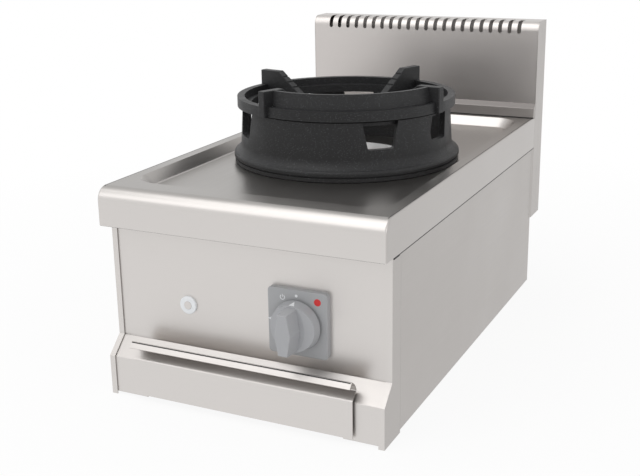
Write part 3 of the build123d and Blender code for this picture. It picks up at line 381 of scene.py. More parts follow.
def turned_metal(name, dark, light, rough, rings=1400.0, metal=1.0):
    material, tree, shader, place = new_material(name)
    centred = add(tree, "ShaderNodeMapping",
                  {"Vector": place, "Location": [-c for c in BURNER_AXIS]})
    waves = add(tree, "ShaderNodeTexWave",
                {"Vector": centred.outputs[0], "Scale": rings, "Distortion": 0.6, "Detail": 2.0},
                wave_type="RINGS", rings_direction="Z")
    cloud = use_clouds(tree, place, 22.0, rough, dark, light)
    coat(tree, shader, cloud["Colour"], cloud["Value"], metal)
    raise_surface(tree, shader, waves.outputs["Fac"], 0.04, 0.0001)
    return material


polished = turned_metal("polished_steel", seen(222, 221, 219), seen(232, 231, 229), (0.10, 0.20))
bright = turned_metal("bright_aluminium", seen(240, 240, 240), seen(246, 246, 246), (0.34, 0.42),
                      metal=0.45)
brass = turned_metal("cast_brass", seen(196, 164, 104), seen(214, 184, 124), (0.28, 0.42))
copper = turned_metal("copper_tube", seen(196, 132, 104), seen(214, 154, 124), (0.22, 0.36))
alloy = turned_metal("cast_alloy", seen(172, 173, 175), seen(188, 189, 190), (0.42, 0.55),
                     rings=400.0)
print("turned metals:", names_of(polished, bright, brass, copper, alloy))

# %% [markdown]
# ## Cast iron
# The wok rings are cast iron under a thin black enamel. The enamel fills the sand skin only
# partly, so the surface is satin with small dents, and pale grains show in it. The grains
# are mixed into the colour, and the skin goes into the height.

# %% Cast iron
def cast_iron(name, dark, light, grain, rough=(0.42, 0.56), skin=700.0):
    material, tree, shader, place = new_material(name)
    cloud = use_clouds(tree, place, 30.0, rough, dark, light)
    spots = use_group(tree, SKIN, {"Vector": place, "Skin Scale": skin, "Grain Scale": 900.0,
                                   "Grain Size": 0.24})
    coat(tree, shader, mix_colours(tree, spots["Grains"], cloud["Colour"], grain), cloud["Value"])
    shader.inputs["Specular IOR Level"].default_value = 0.3
    raise_surface(tree, shader, spots["Height"], 0.35, 0.00035)
    return material


ring_iron = cast_iron("ring_iron", seen(32, 32, 33), seen(40, 40, 41), seen(122, 124, 127))
burner_iron = cast_iron("burner_iron", seen(98, 97, 96), seen(118, 116, 114), seen(150, 148, 146),
                        rough=(0.6, 0.75), skin=450.0)
print("cast irons:", names_of(ring_iron, burner_iron))

# %% [markdown]
# ## Plastics, rubber and ceramic
# The knob and its plate are moulded from grey plastic with a fine spark finish: even in
# colour, but with a skin of tiny dents that keeps the highlight soft. The igniter's ring is
# the same kind of part in white with a gloss mould. Rubber is duller, so is the grey of the
# painted shade in joints and folds, and the black that is painted shadow in a gap hardly
# shines at all.

# %% Moulded pieces
def moulded(name, colour_a, colour_b, rough, skin=1600.0, shine=0.5):
    material, tree, shader, place = new_material(name)
    cloud = use_clouds(tree, place, 18.0, rough, colour_a, colour_b)
    dents = use_group(tree, SKIN, {"Vector": place, "Skin Scale": skin})["Height"]
    coat(tree, shader, cloud["Colour"], cloud["Value"])
    shader.inputs["Specular IOR Level"].default_value = shine
    raise_surface(tree, shader, dents, 0.25, 0.00008)
    return material


knob_grey = moulded("knob_plastic", seen(169, 170, 173), seen(175, 176, 179), (0.36, 0.46))
dial_grey = moulded("dial_plastic", seen(168, 169, 171), seen(174, 175, 177), (0.42, 0.52))
ring_white = moulded("ring_plastic", seen(240, 243, 246), seen(246, 248, 250), (0.18, 0.26))
black_plastic = moulded("black_plastic", seen(34, 34, 35), seen(44, 44, 45), (0.40, 0.50))
glazed = moulded("glazed_ceramic", seen(236, 232, 222), seen(244, 241, 232), (0.12, 0.22),
                 skin=300.0)
lead_sleeve = moulded("lead_sleeve", seen(40, 40, 40), seen(52, 52, 51), (0.55, 0.68))
# This rubber is also the black of the painted shade at the worktop's corners, under the flue's foot
# and on the pull.
rubber_and_painted_shade = moulded("rubber_and_painted_shade", seen(34, 34, 35), seen(46, 46, 46), (0.70, 0.82), skin=700.0)
# painted shade: the grey of the dark lines in the joints and along the folds
painted_shade_grey = moulded("painted_shade_grey", seen(56, 55, 54), seen(66, 65, 64), (0.55, 0.7))
# painted shadow: the black under the upper ring's band
painted_shadow_black = moulded("painted_shadow_black", seen(6, 6, 6), seen(10, 10, 10), (0.75, 0.85), shine=0.1)
print("moulded:", names_of(knob_grey, dial_grey, ring_white, black_plastic, glazed))
print("dull:", names_of(lead_sleeve, rubber_and_painted_shade, painted_shade_grey, painted_shadow_black))

# %% [markdown]
# ## Dress the frame
# Each solid keeps its mesh and takes its finish in its own material slot. The list is kept
# by finish, as a painter would keep it, and the line that is printed at the end shows any
# solid that was forgotten.

# %% Dress the frame
FINISHES = {
    front_steel: ["control_panel", "plinth_front", "tray_front", "front_cheek_left",
                  "front_cheek_right", "igniter_button"],
    side_steel: ["side_panel_left", "side_panel_right", "rear_panel"],
    top_steel: ["worktop"],
    flue_steel: ["flue_front", "flue_cheek_left", "flue_cheek_right", "flue_cover", "flue_floor"],
    strip_painted_shade_steel: ["flue_foot_strip"],
    zinc: ["base_plate", "rear_screws", "tray_runner_left", "tray_runner_right", "tray_pan",
           "burner_bridge", "burner_bolts", "nozzle_rail", "nozzle_block", "pilot_bracket",
           "air_shutter", "tap_screws", "tap_spindle", "igniter_nut", "supply_pipe", "gas_inlet"],
    polished: ["burner_cap", "flame_sensor"],
    bright: ["burner_collar"],
    glazed: ["spark_electrode"],
    ring_iron: ["wok_ring_base", "wok_ring_top"],
    burner_iron: ["burner_body"],
    brass: ["burner_crown", "gas_nozzle", "gas_tap", "tap_plunger", "pilot_burner"],
    copper: ["pilot_pipe", "burner_pipe", "sensor_lead"],
    alloy: ["mixing_tube"],
    knob_grey: ["control_knob"],
    dial_grey: ["dial_plate"],
    ring_white: ["igniter_ring"],
    black_plastic: ["spark_unit"],
    lead_sleeve: ["ignition_lead"],
    rubber_and_painted_shade: ["foot_pads"],
}
dressed = []
for finish, names in FINISHES.items():
    for name in names:
        slots = nodes[name].data.materials
        for index in range(len(slots)):
            slots[index] = finish
        if not len(slots):
            slots.append(finish)
        dressed.append(name)
print("dressed:", len(dressed), "left over:", sorted(set(nodes) - set(dressed)))

# %% [markdown]
# ## From corners to a piece
# The thin pieces that follow are nearly all prisms: an outline at one end, the same outline
# at the other, and faces between them. One helper builds them, turns their faces outwards
# and lets the piece ride on the body that it moves with.

# %% Piece helpers
def let_ride(name, mesh, body):
    """A plain mesh made a piece that moves with a body."""
    piece = put_in_scene(bpy.data.objects.new(name, mesh))
    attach(piece, body)
    return piece


def as_mesh(name, shape, material):
    mesh = bpy.data.meshes.new(name)
    shape.to_mesh(mesh)
    shape.free()
    mesh.materials.append(material)
    return mesh


def as_piece(name, shape, material, body):
    """Turns a closed shape's faces outwards and makes it a piece."""
    bmesh.ops.recalc_face_normals(shape, faces=shape.faces)
    return let_ride(name, as_mesh(name, shape, material), body)


def bridge(shape, ring_a, ring_b):
    """The faces between two closed rings of equally many corners."""
    for k in range(len(ring_a)):
        shape.faces.new([ring_a[k], ring_a[k - 1], ring_b[k - 1], ring_b[k]])


def prisms(name, pairs, material, body):
    """One piece of closed solids, each between a pair of outlines."""
    shape = bmesh.new()
    for pair in pairs:
        rings = [[shape.verts.new(corner) for corner in outline] for outline in pair]
        for ring in rings:
            shape.faces.new(ring)
        bridge(shape, *rings)
    return as_piece(name, shape, material, body)


# %% [markdown]
# ## Marks on the dial
# The marks are printed on the plate: a dot at the top where the gas is off, an open ring
# with a spark for the pilot, a flame for the full burner and a plain red spot. Printed marks
# could be painted in the material, but thin pads of their own keep sharp edges from any
# distance. Each is cut from a flat outline and raised by a tenth of a millimetre.

# %% Outlines
def round_outline(x, z, radius, steps=32):
    angles = [2 * math.pi * k / steps for k in range(steps)]
    return [(x + radius * math.cos(a), z + radius * math.sin(a)) for a in angles]


def band_outline(x, z, radius, width, start, stop, steps=26):
    """A bent bar: an arc of a ring between two angles in degrees."""
    angles = [math.radians(start + (stop - start) * k / steps) for k in range(steps + 1)]
    sides = [[(x + reach * math.cos(a), z + reach * math.sin(a)) for a in angles]
             for reach in (radius + width / 2, radius - width / 2)]
    return sides[0] + sides[1][::-1]


def turned_outline(points, x, z, angle, size=1.0):
    """An outline drawn around nought, turned by an angle in degrees and set in its place."""
    c, s = math.cos(math.radians(angle)), math.sin(math.radians(angle))
    return [(x + size * (px * c - pz * s), z + size * (px * s + pz * c)) for px, pz in points]


FLAME = [(-2.6, -3.6), (-3.2, -1.2), (-2.2, 0.8), (-1.5, -0.4), (-0.6, 2.0), (0.2, 4.6),
         (1.2, 2.2), (1.6, 0.2), (2.3, 1.2), (3.1, -0.8), (2.7, -3.0), (1.4, -4.4), (-1.2, -4.6)]
SPARK = [(-0.5, -1.6), (0.5, -1.6), (0.7, 1.9), (-0.1, 2.3)]
print("corners of the flame:", len(FLAME), "and of the spark:", len(SPARK))

# %% [markdown]
# Two inks do for all the marks, a white one and a red one. The outlines are set out around
# the knob's axis in millimetres, as a printer would place them, and the plate's own face
# says how deep they lie.

# %% Ink and pads
DIAL_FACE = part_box("dial_plate")[0].y
KNOB_AXIS = (0.076, 0.1365)
PAD = 0.00012


def printed(name, colour_a, colour_b):
    """Print is a thin even ink, a little worn, so the clouds move it only slightly."""
    material, tree, shader, place = new_material(name)
    cloud = use_clouds(tree, place, 240.0, (0.45, 0.6), colour_a, colour_b)
    coat(tree, shader, cloud["Colour"], cloud["Value"])
    return material


def printed_mark(name, outlines, ink):
    """Outlines in millimetres around the knob's axis, each made a thin pad on the dial."""
    pairs = [[[(KNOB_AXIS[0] + x / 1000, face, KNOB_AXIS[1] + z / 1000) for x, z in outline]
              for face in (DIAL_FACE - PAD, DIAL_FACE + PAD)] for outline in outlines]
    return prisms(name, pairs, ink, "range")


white_ink = printed("white_ink", seen(228, 230, 233), seen(240, 241, 243))
red_ink = printed("red_ink", seen(206, 44, 46), seen(220, 58, 58))
marks = [
    printed_mark("mark_off", [round_outline(-1.0, 37.0, 1.9)], white_ink),
    printed_mark("mark_pilot", [band_outline(-20.0, 33.0, 3.0, 1.0, 125, 415),
                                turned_outline(SPARK, -20.0, 35.0, 12)], white_ink),
    printed_mark("mark_flame", [turned_outline(FLAME, -37.0, 2.0, 80, 0.9)], white_ink),
    printed_mark("mark_red", [round_outline(27.5, 32.5, 4.6, 40)], red_ink),
]
print("the dial's face is at y =", round(DIAL_FACE, 4), "marks:", names_of(*marks))

# %% [markdown]
# ## Pointer on the knob
# The knob's skirt carries a white pointer on its sloping side, above the grip, so that it
# turns with the knob and faces the dot at rest. The skirt is a cone there, so the pointer is
# drawn on the cone itself: every corner is placed at the cone's radius for its depth.

# %% Pointer
SKIRT_FRONT, SKIRT_BACK = -0.338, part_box("control_knob")[1].y
SKIRT_RADII = (0.0295, 0.0325)


def on_skirt(across, depth, lift):
    """A point on the skirt's side: mm across, share of the way back, metres above the skin."""
    radius = SKIRT_RADII[0] + (SKIRT_RADII[1] - SKIRT_RADII[0]) * depth + lift
    angle = across / 1000 / radius
    return (KNOB_AXIS[0] + radius * math.sin(angle),
            SKIRT_FRONT + (SKIRT_BACK - SKIRT_FRONT) * depth,
            KNOB_AXIS[1] + radius * math.cos(angle))


def pointer_sheet(shape, lift, width=7.4, near=0.16, far=0.80, rows=6, columns=4):
    """A triangle that narrows to a tip at the back; gives the ring of corners around it."""
    sheet = []
    for row in range(rows):
        half = width / 2 * (1 - row / rows)
        depth = near + (far - near) * row / rows
        sheet.append([shape.verts.new(on_skirt(half * (2 * k / columns - 1), depth, lift))
                      for k in range(columns + 1)])
    sheet.append([shape.verts.new(on_skirt(0, far, lift))] * (columns + 1))
    for lower, upper in zip(sheet, sheet[1:]):
        for k in range(columns):
            corners = [lower[k], lower[k + 1], upper[k + 1], upper[k]]
            shape.faces.new(list(dict.fromkeys(corners)))      # the tip counts once
    return [row[0] for row in sheet] + [row[-1] for row in sheet[-2::-1]] + sheet[0][-2:0:-1]


pointer_shape = bmesh.new()
bridge(pointer_shape, pointer_sheet(pointer_shape, PAD), pointer_sheet(pointer_shape, -PAD))
pointer = as_piece("knob_pointer", pointer_shape, white_ink, "knob")
print("pointer corners:", len(pointer.data.vertices))

# %% [markdown]
# ## Thin bars
# Painted shadow bars, fillers and painted crease shades are long thin bars. A plain box would
# catch no light on its edges, so each bar has its four long edges cut off a little. Most of
# them come in pairs, one on the left and one on the right, so a second helper mirrors a box.

# %% Bars
CLEAR = 0.0001                       # keeps two faces out of one plane


def bar_ends(low, high, chamfer):
    """The two end outlines of a bar between two corners."""
    spans = [b - a for a, b in zip(low, high)]
    long = spans.index(max(spans))
    u, v = [axis for axis in range(3) if axis != long]
    cut = min(chamfer, 0.3 * min(spans[u], spans[v]))
    section = [(low[u] + cut, low[v]), (high[u] - cut, low[v]), (high[u], low[v] + cut),
               (high[u], high[v] - cut), (high[u] - cut, high[v]), (low[u] + cut, high[v]),
               (low[u], high[v] - cut), (low[u], low[v] + cut)]
    return [[tuple(end if axis == long else a if axis == u else b for axis in range(3))
             for a, b in section] for end in (low[long], high[long])]


def bars(name, boxes, material, chamfer=0.0002):
    return prisms(name, [bar_ends(low, high, chamfer) for low, high in boxes], material, "range")


def both_sides(near, far, low, high):
    """A box on each side between two distances from the middle; low and high are (y, z)."""
    return [((start, *low), (stop, *high)) for start, stop in ((-far, -near), (near, far))]


print("bars stay", CLEAR * 1000, "mm clear of the sheets")

# %% [markdown]
# ## Painted shadow in the joints
# Where the worktop's aprons hang over the body, shade makes a dark line, and a thin dark bar
# in the joint paints it; the flue's foot has such a painted shadow too. Along the front it is
# thinner, and at each front corner, where the shade is deepest, a short thicker black bar is
# set in. A line could be painted on the sheet, but it would slide over the edge, so each
# painted shadow is a real bar in its joint.

# %% Painted shadow bars in the joints
top_low, top_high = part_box("worktop")
strip_low, strip_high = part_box("flue_foot_strip")
FRONT, EDGE, HEM = top_low.y, top_high.x, top_low.z      # HEM is the aprons' lower edge
SHADE_BAR_END = 0.002                                         # where a painted shadow bar stops, from a corner
SHADE_BAR_BAND = (EDGE - 0.0013, EDGE - CLEAR)
SHADE_BAR_HEIGHT = {"front": 0.0003, "side": 0.0017, "corner": 0.0027, "strip": 0.0013}
FRONT_DEPTH, STRIP_DEPTH = 0.0012, 0.0008
CORNER_START, CORNER_STOP = FRONT + 0.0255, FRONT + 0.0425

front_shade_bar = ((SHADE_BAR_END - EDGE, FRONT + CLEAR, HEM - SHADE_BAR_HEIGHT["front"]),
              (EDGE - SHADE_BAR_END, FRONT + FRONT_DEPTH, HEM))
side_shade_bars = both_sides(*SHADE_BAR_BAND, (CORNER_STOP, HEM - SHADE_BAR_HEIGHT["side"]),
                        (top_high.y - SHADE_BAR_END, HEM))
corner_shade_bars = both_sides(*SHADE_BAR_BAND, (CORNER_START, HEM - SHADE_BAR_HEIGHT["corner"]),
                          (CORNER_STOP, HEM))
strip_shade_bar = ((strip_low.x, strip_low.y - STRIP_DEPTH, strip_low.z + CLEAR),
              (strip_high.x, strip_low.y - CLEAR, strip_low.z + SHADE_BAR_HEIGHT["strip"]))
# painted shade: grey and black bars where the joints lie in shadow
shade_bars = [bars("worktop_shade_bars", [front_shade_bar, *side_shade_bars], painted_shade_grey),
         bars("corner_shade_bars", [*corner_shade_bars, strip_shade_bar], rubber_and_painted_shade)]
print("pieces of seal:", names_of(*shade_bars))

# %% [markdown]
# ## Fillers and painted crease shade
# Behind the side panels, two bars of the panels' own steel close the slots next to the flue's
# cheeks. One more bar fills the groove between the control panel and the sloping front below
# it. Along each side of the worktop, where the apron was folded down, a fine dark line of
# painted shade marks the fold: a grey bar that is sunk in the sheet and stands out by less
# than a tenth of a millimetre.

# %% Fillers and painted crease shade
side_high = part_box("side_panel_right")[1]
cheek_low, cheek_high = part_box("flue_cheek_right")
panel_low, panel_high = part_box("control_panel")
FILLER_DEPTHS = (side_high.y + 0.0012, side_high.y + 0.0026)
FILLER_HEIGHTS = (cheek_low.z + 0.001, HEM - 0.002)
FILLER_CHAMFER = 0.00005
JOINT_DEPTH, JOINT_HEIGHT = 0.0014, 0.0015
CREASE = (EDGE - 0.0036, EDGE - 0.0028)
CREASE_START, CREASE_STOP = FRONT + 0.014, strip_low.y - 0.001
CREASE_RISE, CREASE_CHAMFER = 0.00008, 0.00002

fillers = bars("side_fillers",
               both_sides(side_high.x + CLEAR, cheek_low.x - CLEAR,
                          *zip(FILLER_DEPTHS, FILLER_HEIGHTS)), side_steel, FILLER_CHAMFER)
joint = bars("panel_joint",
             [((panel_low.x + 2 * CLEAR, panel_low.y + CLEAR, panel_low.z - CLEAR),
               (panel_high.x - 2 * CLEAR, panel_low.y + JOINT_DEPTH, panel_low.z + JOINT_HEIGHT))],
             front_steel, FILLER_CHAMFER)
crease_shades = bars("worktop_fold_shades",
               both_sides(*CREASE, (CREASE_START, top_high.z - CLEAR),
                          (CREASE_STOP, top_high.z + CREASE_RISE)), painted_shade_grey, CREASE_CHAMFER)
print("bars:", names_of(fillers, joint, crease_shades))
print("crease length:", round(CREASE_STOP - CREASE_START, 3), "m")

# %% [markdown]
# ## Wedges and end plates
# The flue's cheeks stand a little further out than the side panels, so a slim wedge leads
# from each panel out to its cheek and no step shows. The flue's foot strip is a folded sheet
# whose ends are open, so a small plate is cut to its section for each end. Both kinds are
# drawn once, as an outline for the right side, and mirrored for the left.

# %% Wedges and end plates
WEDGE_LENGTH = 0.007
WEDGE_SPAN = (cheek_low.z + 0.0005, HEM - 0.0018)
SHEET = 0.0012                       # the thickness of the strip's own sheet
PLATE = 0.0008

inner, stop = side_high.x + CLEAR / 2, cheek_low.y - CLEAR
wedge = [(inner, side_high.y - WEDGE_LENGTH), (cheek_high.x - CLEAR, stop), (inner, stop)]
wedges = prisms("side_wedges",
                [[[(sign * x, y, z) for x, y in wedge] for z in WEDGE_SPAN] for sign in (-1, 1)],
                side_steel, "range")
back, top = strip_high.y - 0.0003, strip_high.z - 1.6 * SHEET
section = [(strip_low.y + SHEET, strip_low.z + SHEET), (back, strip_low.z + SHEET), (back, top),
           (strip_low.y + SHEET, top - (strip_high.y - strip_low.y) + SHEET)]
plate_faces = (strip_high.x - CLEAR, strip_high.x - CLEAR - PLATE)
end_plates = prisms("strip_ends",
                    [[[(sign * x, y, z) for y, z in section] for x in plate_faces]
                     for sign in (-1, 1)], side_steel, "range")
print("made:", names_of(wedges, end_plates))
print("steps closed by the wedges:", round((cheek_high.x - side_high.x) * 1000, 1), "mm each")

# %% [markdown]
# ## Painted shadow line on the pull
# The tray's pull is a folded lip, and a thin dark line of painted shade runs along it just
# under its crest, where the shadow gap behind the crest shows. The line has to lie on the lip
# however the lip bends, so rays are sent straight down on the tray's own mesh, and the line's
# corners are the places they hit.

# %% Painted shadow line on the pull
tray_mesh = nodes["tray_front"].data
tray_low, tray_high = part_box("tray_front")
tray_tree = BVHTree.FromPolygons([v.co for v in tray_mesh.vertices],
                                 [tuple(face.vertices) for face in tray_mesh.polygons])
crest_y = max((v.co for v in tray_mesh.vertices), key=lambda co: co.z).y
LINE_DROPS = (0.0003, 0.0013)        # from the crest down to the line's two edges
LINE_END = 0.0010
DOWN = Vector((0, 0, -1))


def on_lip(drop, steps=400, inset=0.00005, above=0.01):
    """The place on the lip's front that lies this far under its crest, and how it faces."""
    for k in range(steps, -1, -1):
        y = tray_low.y + inset + (tray_high.y - tray_low.y) * k / steps
        place, normal = tray_tree.ray_cast(Vector((0, y, tray_high.z + above)), DOWN)[:2]
        if place is not None and y < crest_y and tray_high.z - place.z >= drop:
            return place, normal
    raise ValueError("the lip has no place so low")


line_places = [on_lip(drop) for drop in LINE_DROPS]
line_section = [place + PAD * normal for place, normal in line_places]
line_section += [place - PAD * normal for place, normal in line_places[::-1]]
pull_shadow_line = prisms("pull_shadow_line", [[[(x + p.x, p.y, p.z) for p in line_section]
                                  for x in (tray_low.x + LINE_END, tray_high.x - LINE_END)]],
                   rubber_and_painted_shade, "tray")
print(pull_shadow_line.name, "lies at z", [round(place.z, 4) for place, normal in line_places],
      "and the crest at y", round(crest_y, 4))

# %% [markdown]
# ## Painted shadow between the rings
# The upper ring does not lie flush on the lower one, and shade makes a dark line round under
# its band. A gap could be cut into the castings, but they come as they are, so a thin black lip
# under the band paints that shadow and rides with the upper ring. Its radius is measured on
# the lower ring.

# %% Painted shadow between the rings
base_low, base_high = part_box("wok_ring_base")
ring_axis = ((base_low + base_high) / 2).xy
rim_radius = max((v.co.xy - ring_axis).length for v in nodes["wok_ring_base"].data.vertices
                 if v.co.z > base_high.z - CLEAR)


def gap_shadow_lip(near=0.0001, far=0.0009, top=0.00005, drop=0.0016, steps=144):
    """A ring whose section lies this near to and this far from the lower ring's rim."""
    shape = bmesh.new()
    loops = []
    for k in range(steps):
        angle = 2 * math.pi * k / steps
        loops.append([shape.verts.new((ring_axis.x + (rim_radius + reach) * math.cos(angle),
                                       ring_axis.y + (rim_radius + reach) * math.sin(angle),
                                       base_high.z + height))
                      for reach, height in ((near, top), (far, top), (far, -drop), (near, -drop))])
    for k in range(steps):
        bridge(shape, loops[k], loops[k - 1])
    return as_piece("ring_gap_shadow", shape, painted_shadow_black, "upper_ring")


gap = gap_shadow_lip()
print(gap.name, "runs round a rim with a radius of", round(rim_radius * 1000, 1), "mm")

# %% [markdown]
# ## Pieces that repeat or follow a rule
# A row of rivets and a pipe thread are the same small form many times over, or one form led
# along a line. Geometry Nodes suit both: the tree holds the rule, and its named inputs hold
# the sizes. Once the sizes are set, the result is taken as a plain mesh, because the export
# keeps no instances and no live modifier.

# %% Helpers: from a tree to a plain mesh
def new_tree(name, inputs):
    """An empty tree with named sizes that puts out geometry."""
    return new_group(name, "GeometryNodeTree", inputs, [("Geometry", "Geometry")])


def end_tree(tree, shape, material, result):
    """Every tree ends alike: real geometry in place of instances, and a material on it."""
    real = add(tree, "GeometryNodeRealizeInstances", {0: shape})
    finish = add(tree, "GeometryNodeSetMaterial",
                 {"Geometry": real.outputs[0], "Material": material})
    tree.links.new(finish.outputs[0], result[0])
    return tree


def grow(name, tree, values, body):
    """Runs a tree with its inputs set, keeps the result as a plain mesh and lets it ride."""
    holder = put_in_scene(bpy.data.objects.new(name + "_holder", bpy.data.meshes.new("holder")))
    modifier = holder.modifiers.new("rule", "NODES")
    modifier.node_group = tree
    sockets = {item.name: item.identifier for item in tree.interface.items_tree
               if item.in_out == "INPUT"}
    for label, value in values.items():
        modifier[sockets[label]] = value
    bpy.context.view_layer.update()
    evaluated = holder.evaluated_get(bpy.context.evaluated_depsgraph_get())
    mesh = bpy.data.meshes.new_from_object(evaluated)
    mesh.name = name
    holder.modifiers.remove(modifier)
    bpy.data.objects.remove(holder)
    return let_ride(name, mesh, body)


# %% [markdown]
# The rear panel is held to the floor of the body by a row of blind rivets. Each head is a
# low dome with a small pin hole in its middle. In the tree a disc is raised and narrowed
# three times, which gives the dome's steps, and one last step sinks the middle.

# %% Rivet row
DOME_STEPS = (0.94, 0.80, 0.52)      # the share of its width that each step keeps
PIN_HOLE = 0.7                       # and the hole's share of the last step
MERGE = 0.00001                      # corners nearer than this are one


def rivet_row_tree(material):
    tree, given, result = new_tree("rivet_row", [
        ("Count", "Int", 6), ("Start", "Vector", (0, 0, 0)), ("Step", "Vector", (0.05, 0, 0)),
        ("Head Radius", "Float", 0.0024), ("Head Height", "Float", 0.0009)])
    rise = calculate(tree, "MULTIPLY", given["Head Height"], 0.3333)
    sink = calculate(tree, "MULTIPLY", given["Head Height"], -0.5)
    disc = add(tree, "GeometryNodeMeshCircle", {"Vertices": 20, "Radius": given["Head Radius"]},
               fill_type="NGON").outputs[0]
    shape, top = disc, None
    for height, narrower in [(rise, share) for share in DOME_STEPS] + [(0.0, PIN_HOLE)]:
        lift = add(tree, "GeometryNodeExtrudeMesh",
                   {"Mesh": shape, "Offset Scale": height, **({"Selection": top} if top else {})})
        top = lift.outputs["Top"]
        shape = add(tree, "GeometryNodeScaleElements",
                    {"Geometry": lift.outputs["Mesh"], "Selection": top,
                     "Scale": narrower}).outputs[0]
    hole = add(tree, "GeometryNodeExtrudeMesh",
               {"Mesh": shape, "Selection": top, "Offset Scale": sink})
    under = add(tree, "GeometryNodeFlipFaces", {"Mesh": disc})
    both = add(tree, "GeometryNodeJoinGeometry", {0: hole.outputs["Mesh"]})
    tree.links.new(under.outputs[0], both.inputs[0])
    closed = add(tree, "GeometryNodeMergeByDistance",
                 {"Geometry": both.outputs[0], "Distance": MERGE})
    upright = add(tree, "GeometryNodeTransform",
                  {"Geometry": closed.outputs[0], "Rotation": (-math.pi / 2, 0, 0)})
    row = add(tree, "GeometryNodeMeshLine",
              {"Count": given["Count"], "Start Location": given["Start"],
               "Offset": given["Step"]}, mode="OFFSET")
    heads = add(tree, "GeometryNodeInstanceOnPoints",
                {"Points": row.outputs[0], "Instance": upright.outputs[0]})
    return end_tree(tree, heads.outputs[0], material, result)


rear_low, rear_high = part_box("rear_panel")
RIVETS = 7
RIVET_EDGE, RIVET_HEIGHT = 0.034, 0.0095
step = (rear_high.x - rear_low.x - 2 * RIVET_EDGE) / (RIVETS - 1)
rivets = grow("rear_rivets", rivet_row_tree(zinc),
              {"Count": RIVETS, "Start": (rear_low.x + RIVET_EDGE, rear_high.y, RIVET_HEIGHT),
               "Step": (step, 0, 0)}, "range")
print("rivets:", RIVETS, "step:", round(step * 1000, 1), "mm, corners:", len(rivets.data.vertices))

# %% [markdown]
# The gas inlet ends in a half inch pipe thread. A thread is a small triangle led along a
# spiral, so the tree draws the spiral and sweeps the triangle along it. The pitch of this
# thread is 1.814 mm.

# %% Pipe thread
def thread_tree(material):
    tree, given, result = new_tree("pipe_thread", [
        ("Radius", "Float", 0.0105), ("Pitch", "Float", 0.001814), ("Length", "Float", 0.02),
        ("Ridge", "Float", 0.0006), ("Place", "Vector", (0, 0, 0))])
    turns = calculate(tree, "DIVIDE", given["Length"], given["Pitch"])
    spiral = add(tree, "GeometryNodeCurveSpiral",
                 {"Resolution": 40, "Rotations": turns, "Start Radius": given["Radius"],
                  "End Radius": given["Radius"], "Height": given["Length"]})
    tooth = add(tree, "GeometryNodeCurvePrimitiveCircle",
                {"Resolution": 3, "Radius": given["Ridge"]})
    sweep = add(tree, "GeometryNodeCurveToMesh",
                {"Curve": spiral.outputs[0], "Profile Curve": tooth.outputs[0],
                 "Fill Caps": True})
    along_pipe = add(tree, "GeometryNodeTransform",
                     {"Geometry": sweep.outputs[0], "Translation": given["Place"],
                      "Rotation": (-math.pi / 2, 0, 0)})
    return end_tree(tree, along_pipe.outputs[0], material, result)


inlet_low, inlet_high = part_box("gas_inlet")
inlet_middle = (inlet_low + inlet_high) / 2
THREAD_LENGTH, THREAD_END, THREAD_PITCH = 0.024, 0.0022, 0.001814
thread_start = (inlet_middle.x, inlet_high.y - THREAD_LENGTH - THREAD_END, inlet_middle.z)
thread = grow("inlet_thread", thread_tree(zinc),
              {"Length": THREAD_LENGTH, "Pitch": THREAD_PITCH, "Place": thread_start}, "range")
print("thread turns:", round(THREAD_LENGTH / THREAD_PITCH, 1),
      "corners:", len(thread.data.vertices))

# %% [markdown]
# ## Floor, surroundings and light
# The photograph has a white floor with no horizon. A plain floor would turn grey away from
# the lamps, so for the camera and for reflections it also gives off white light, most of it
# far away and least under the object, where its soft shadow has to stay.

# %% Floor
GLOW_NEAR, GLOW_FAR = 0.35, 1.3      # metres from the object's middle
LEAST_GLOW = 0.90


def seen_or_mirrored(tree):
    """One for rays from the camera, a mirror or glass, nought for light that falls on things."""
    ray = add(tree, "ShaderNodeLightPath").outputs
    direct = calculate(tree, "MAXIMUM", ray["Is Camera Ray"], ray["Is Glossy Ray"])
    return calculate(tree, "MAXIMUM", direct, ray["Is Transmission Ray"])


def floor_material():
    material, tree, shader, place = new_material("floor")
    shader.inputs["Roughness"].default_value = 0.9
    shader.inputs["Specular IOR Level"].default_value = 0.1
    mottle = add(tree, "ShaderNodeTexNoise", {"Vector": place, "Scale": 3.0}).outputs["Fac"]
    tone = mix_colours(tree, mottle, seen(240, 240, 240), seen(243, 243, 243))
    tree.links.new(tone, shader.inputs["Base Color"])
    glow = add(tree, "ShaderNodeEmission", {"Color": (1, 1, 1, 1), "Strength": 1.0})
    away = add(tree, "ShaderNodeVectorMath", {0: place}, operation="LENGTH").outputs["Value"]
    share = add(tree, "ShaderNodeMapRange", {"Value": away, "From Min": GLOW_NEAR,
                                             "From Max": GLOW_FAR, "To Min": LEAST_GLOW,
                                             "To Max": 1.0}).outputs[0]
    amount = calculate(tree, "MULTIPLY", seen_or_mirrored(tree), share)
    mixed = add(tree, "ShaderNodeMixShader",
                {0: amount, 1: shader.outputs[0], 2: glow.outputs[0]})
    tree.links.new(mixed.outputs[0], tree.nodes["Material Output"].inputs["Surface"])
    return material


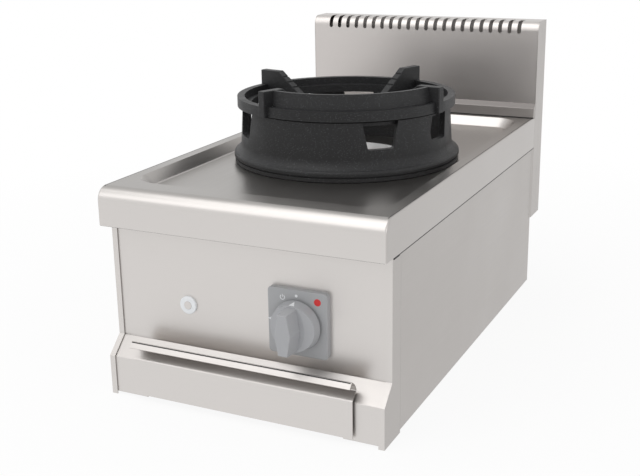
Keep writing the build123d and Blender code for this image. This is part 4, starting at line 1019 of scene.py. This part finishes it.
def floor_disc(radius=45.0, rings=10, steps=48):
    """A flat disc of rings that widen outwards."""
    shape = bmesh.new()
    middle = shape.verts.new((0, 0, 0))
    previous = None
    for ring in range(1, rings + 1):
        reach = radius * (ring / rings) ** 2
        angles = [2 * math.pi * k / steps for k in range(steps)]
        loop = [shape.verts.new((reach * math.cos(a), reach * math.sin(a), 0)) for a in angles]
        for k in range(steps):
            after = (k + 1) % steps
            inside = [previous[after], previous[k]] if previous else [middle]
            shape.faces.new([loop[k], loop[after], *inside])
        previous = loop
    floor = put_in_scene(bpy.data.objects.new("floor", as_mesh("floor", shape, floor_material())))
    return floor


floor = floor_disc()
print("floor faces:", len(floor.data.polygons))

# %% [markdown]
# The surroundings are plain white too. The camera and the mirrors in the steel see them at
# full strength, while the light that they throw is weaker, so that the lamps still shape the
# object.

# %% Surroundings
SKY_FILL = 0.66
world = bpy.data.worlds.new("studio")
bpy.context.scene.world = world
world.use_nodes = True
sky = world.node_tree
level = add(sky, "ShaderNodeMapRange",
            {"Value": seen_or_mirrored(sky), "To Min": SKY_FILL, "To Max": 1.0})
background = sky.nodes["Background"].inputs
background["Color"].default_value = (1, 1, 1, 1)
sky.links.new(level.outputs[0], background["Strength"])
print("light of the surroundings:", SKY_FILL)

# %% [markdown]
# Large soft lamps shape sheet metal by what it mirrors. The key hangs high over the front
# left, where the rolled edges and the sloping strips look, so these turn bright while the
# upright faces, which mirror the floor, stay calm. A weak fill from the right keeps the side
# from going flat, and a third lamp near the front left lights the rolled front edge.

# %% Lamps
MIDDLE = Vector((0.0, 0.0, 0.2))


def soft_lamp(name, place, size, power):
    """A rectangle of light that looks at the object's middle."""
    data = bpy.data.lights.new(name, "AREA")
    data.shape = "RECTANGLE"
    data.size, data.size_y = size
    data.energy = power
    lamp = put_in_scene(bpy.data.objects.new(name, data))
    lamp.location = place
    lamp.rotation_euler = (MIDDLE - Vector(place)).to_track_quat("-Z", "Y").to_euler()
    return lamp


lamps = [soft_lamp("key", (-0.5, -0.55, 2.4), (1.9, 1.7), 14),
         soft_lamp("fill", (2.2, -0.9, 0.9), (1.2, 1.2), 4),
         soft_lamp("near", (-0.95, -1.75, 1.75), (1.6, 1.4), 7)]
print("lamps:", names_of(*lamps))
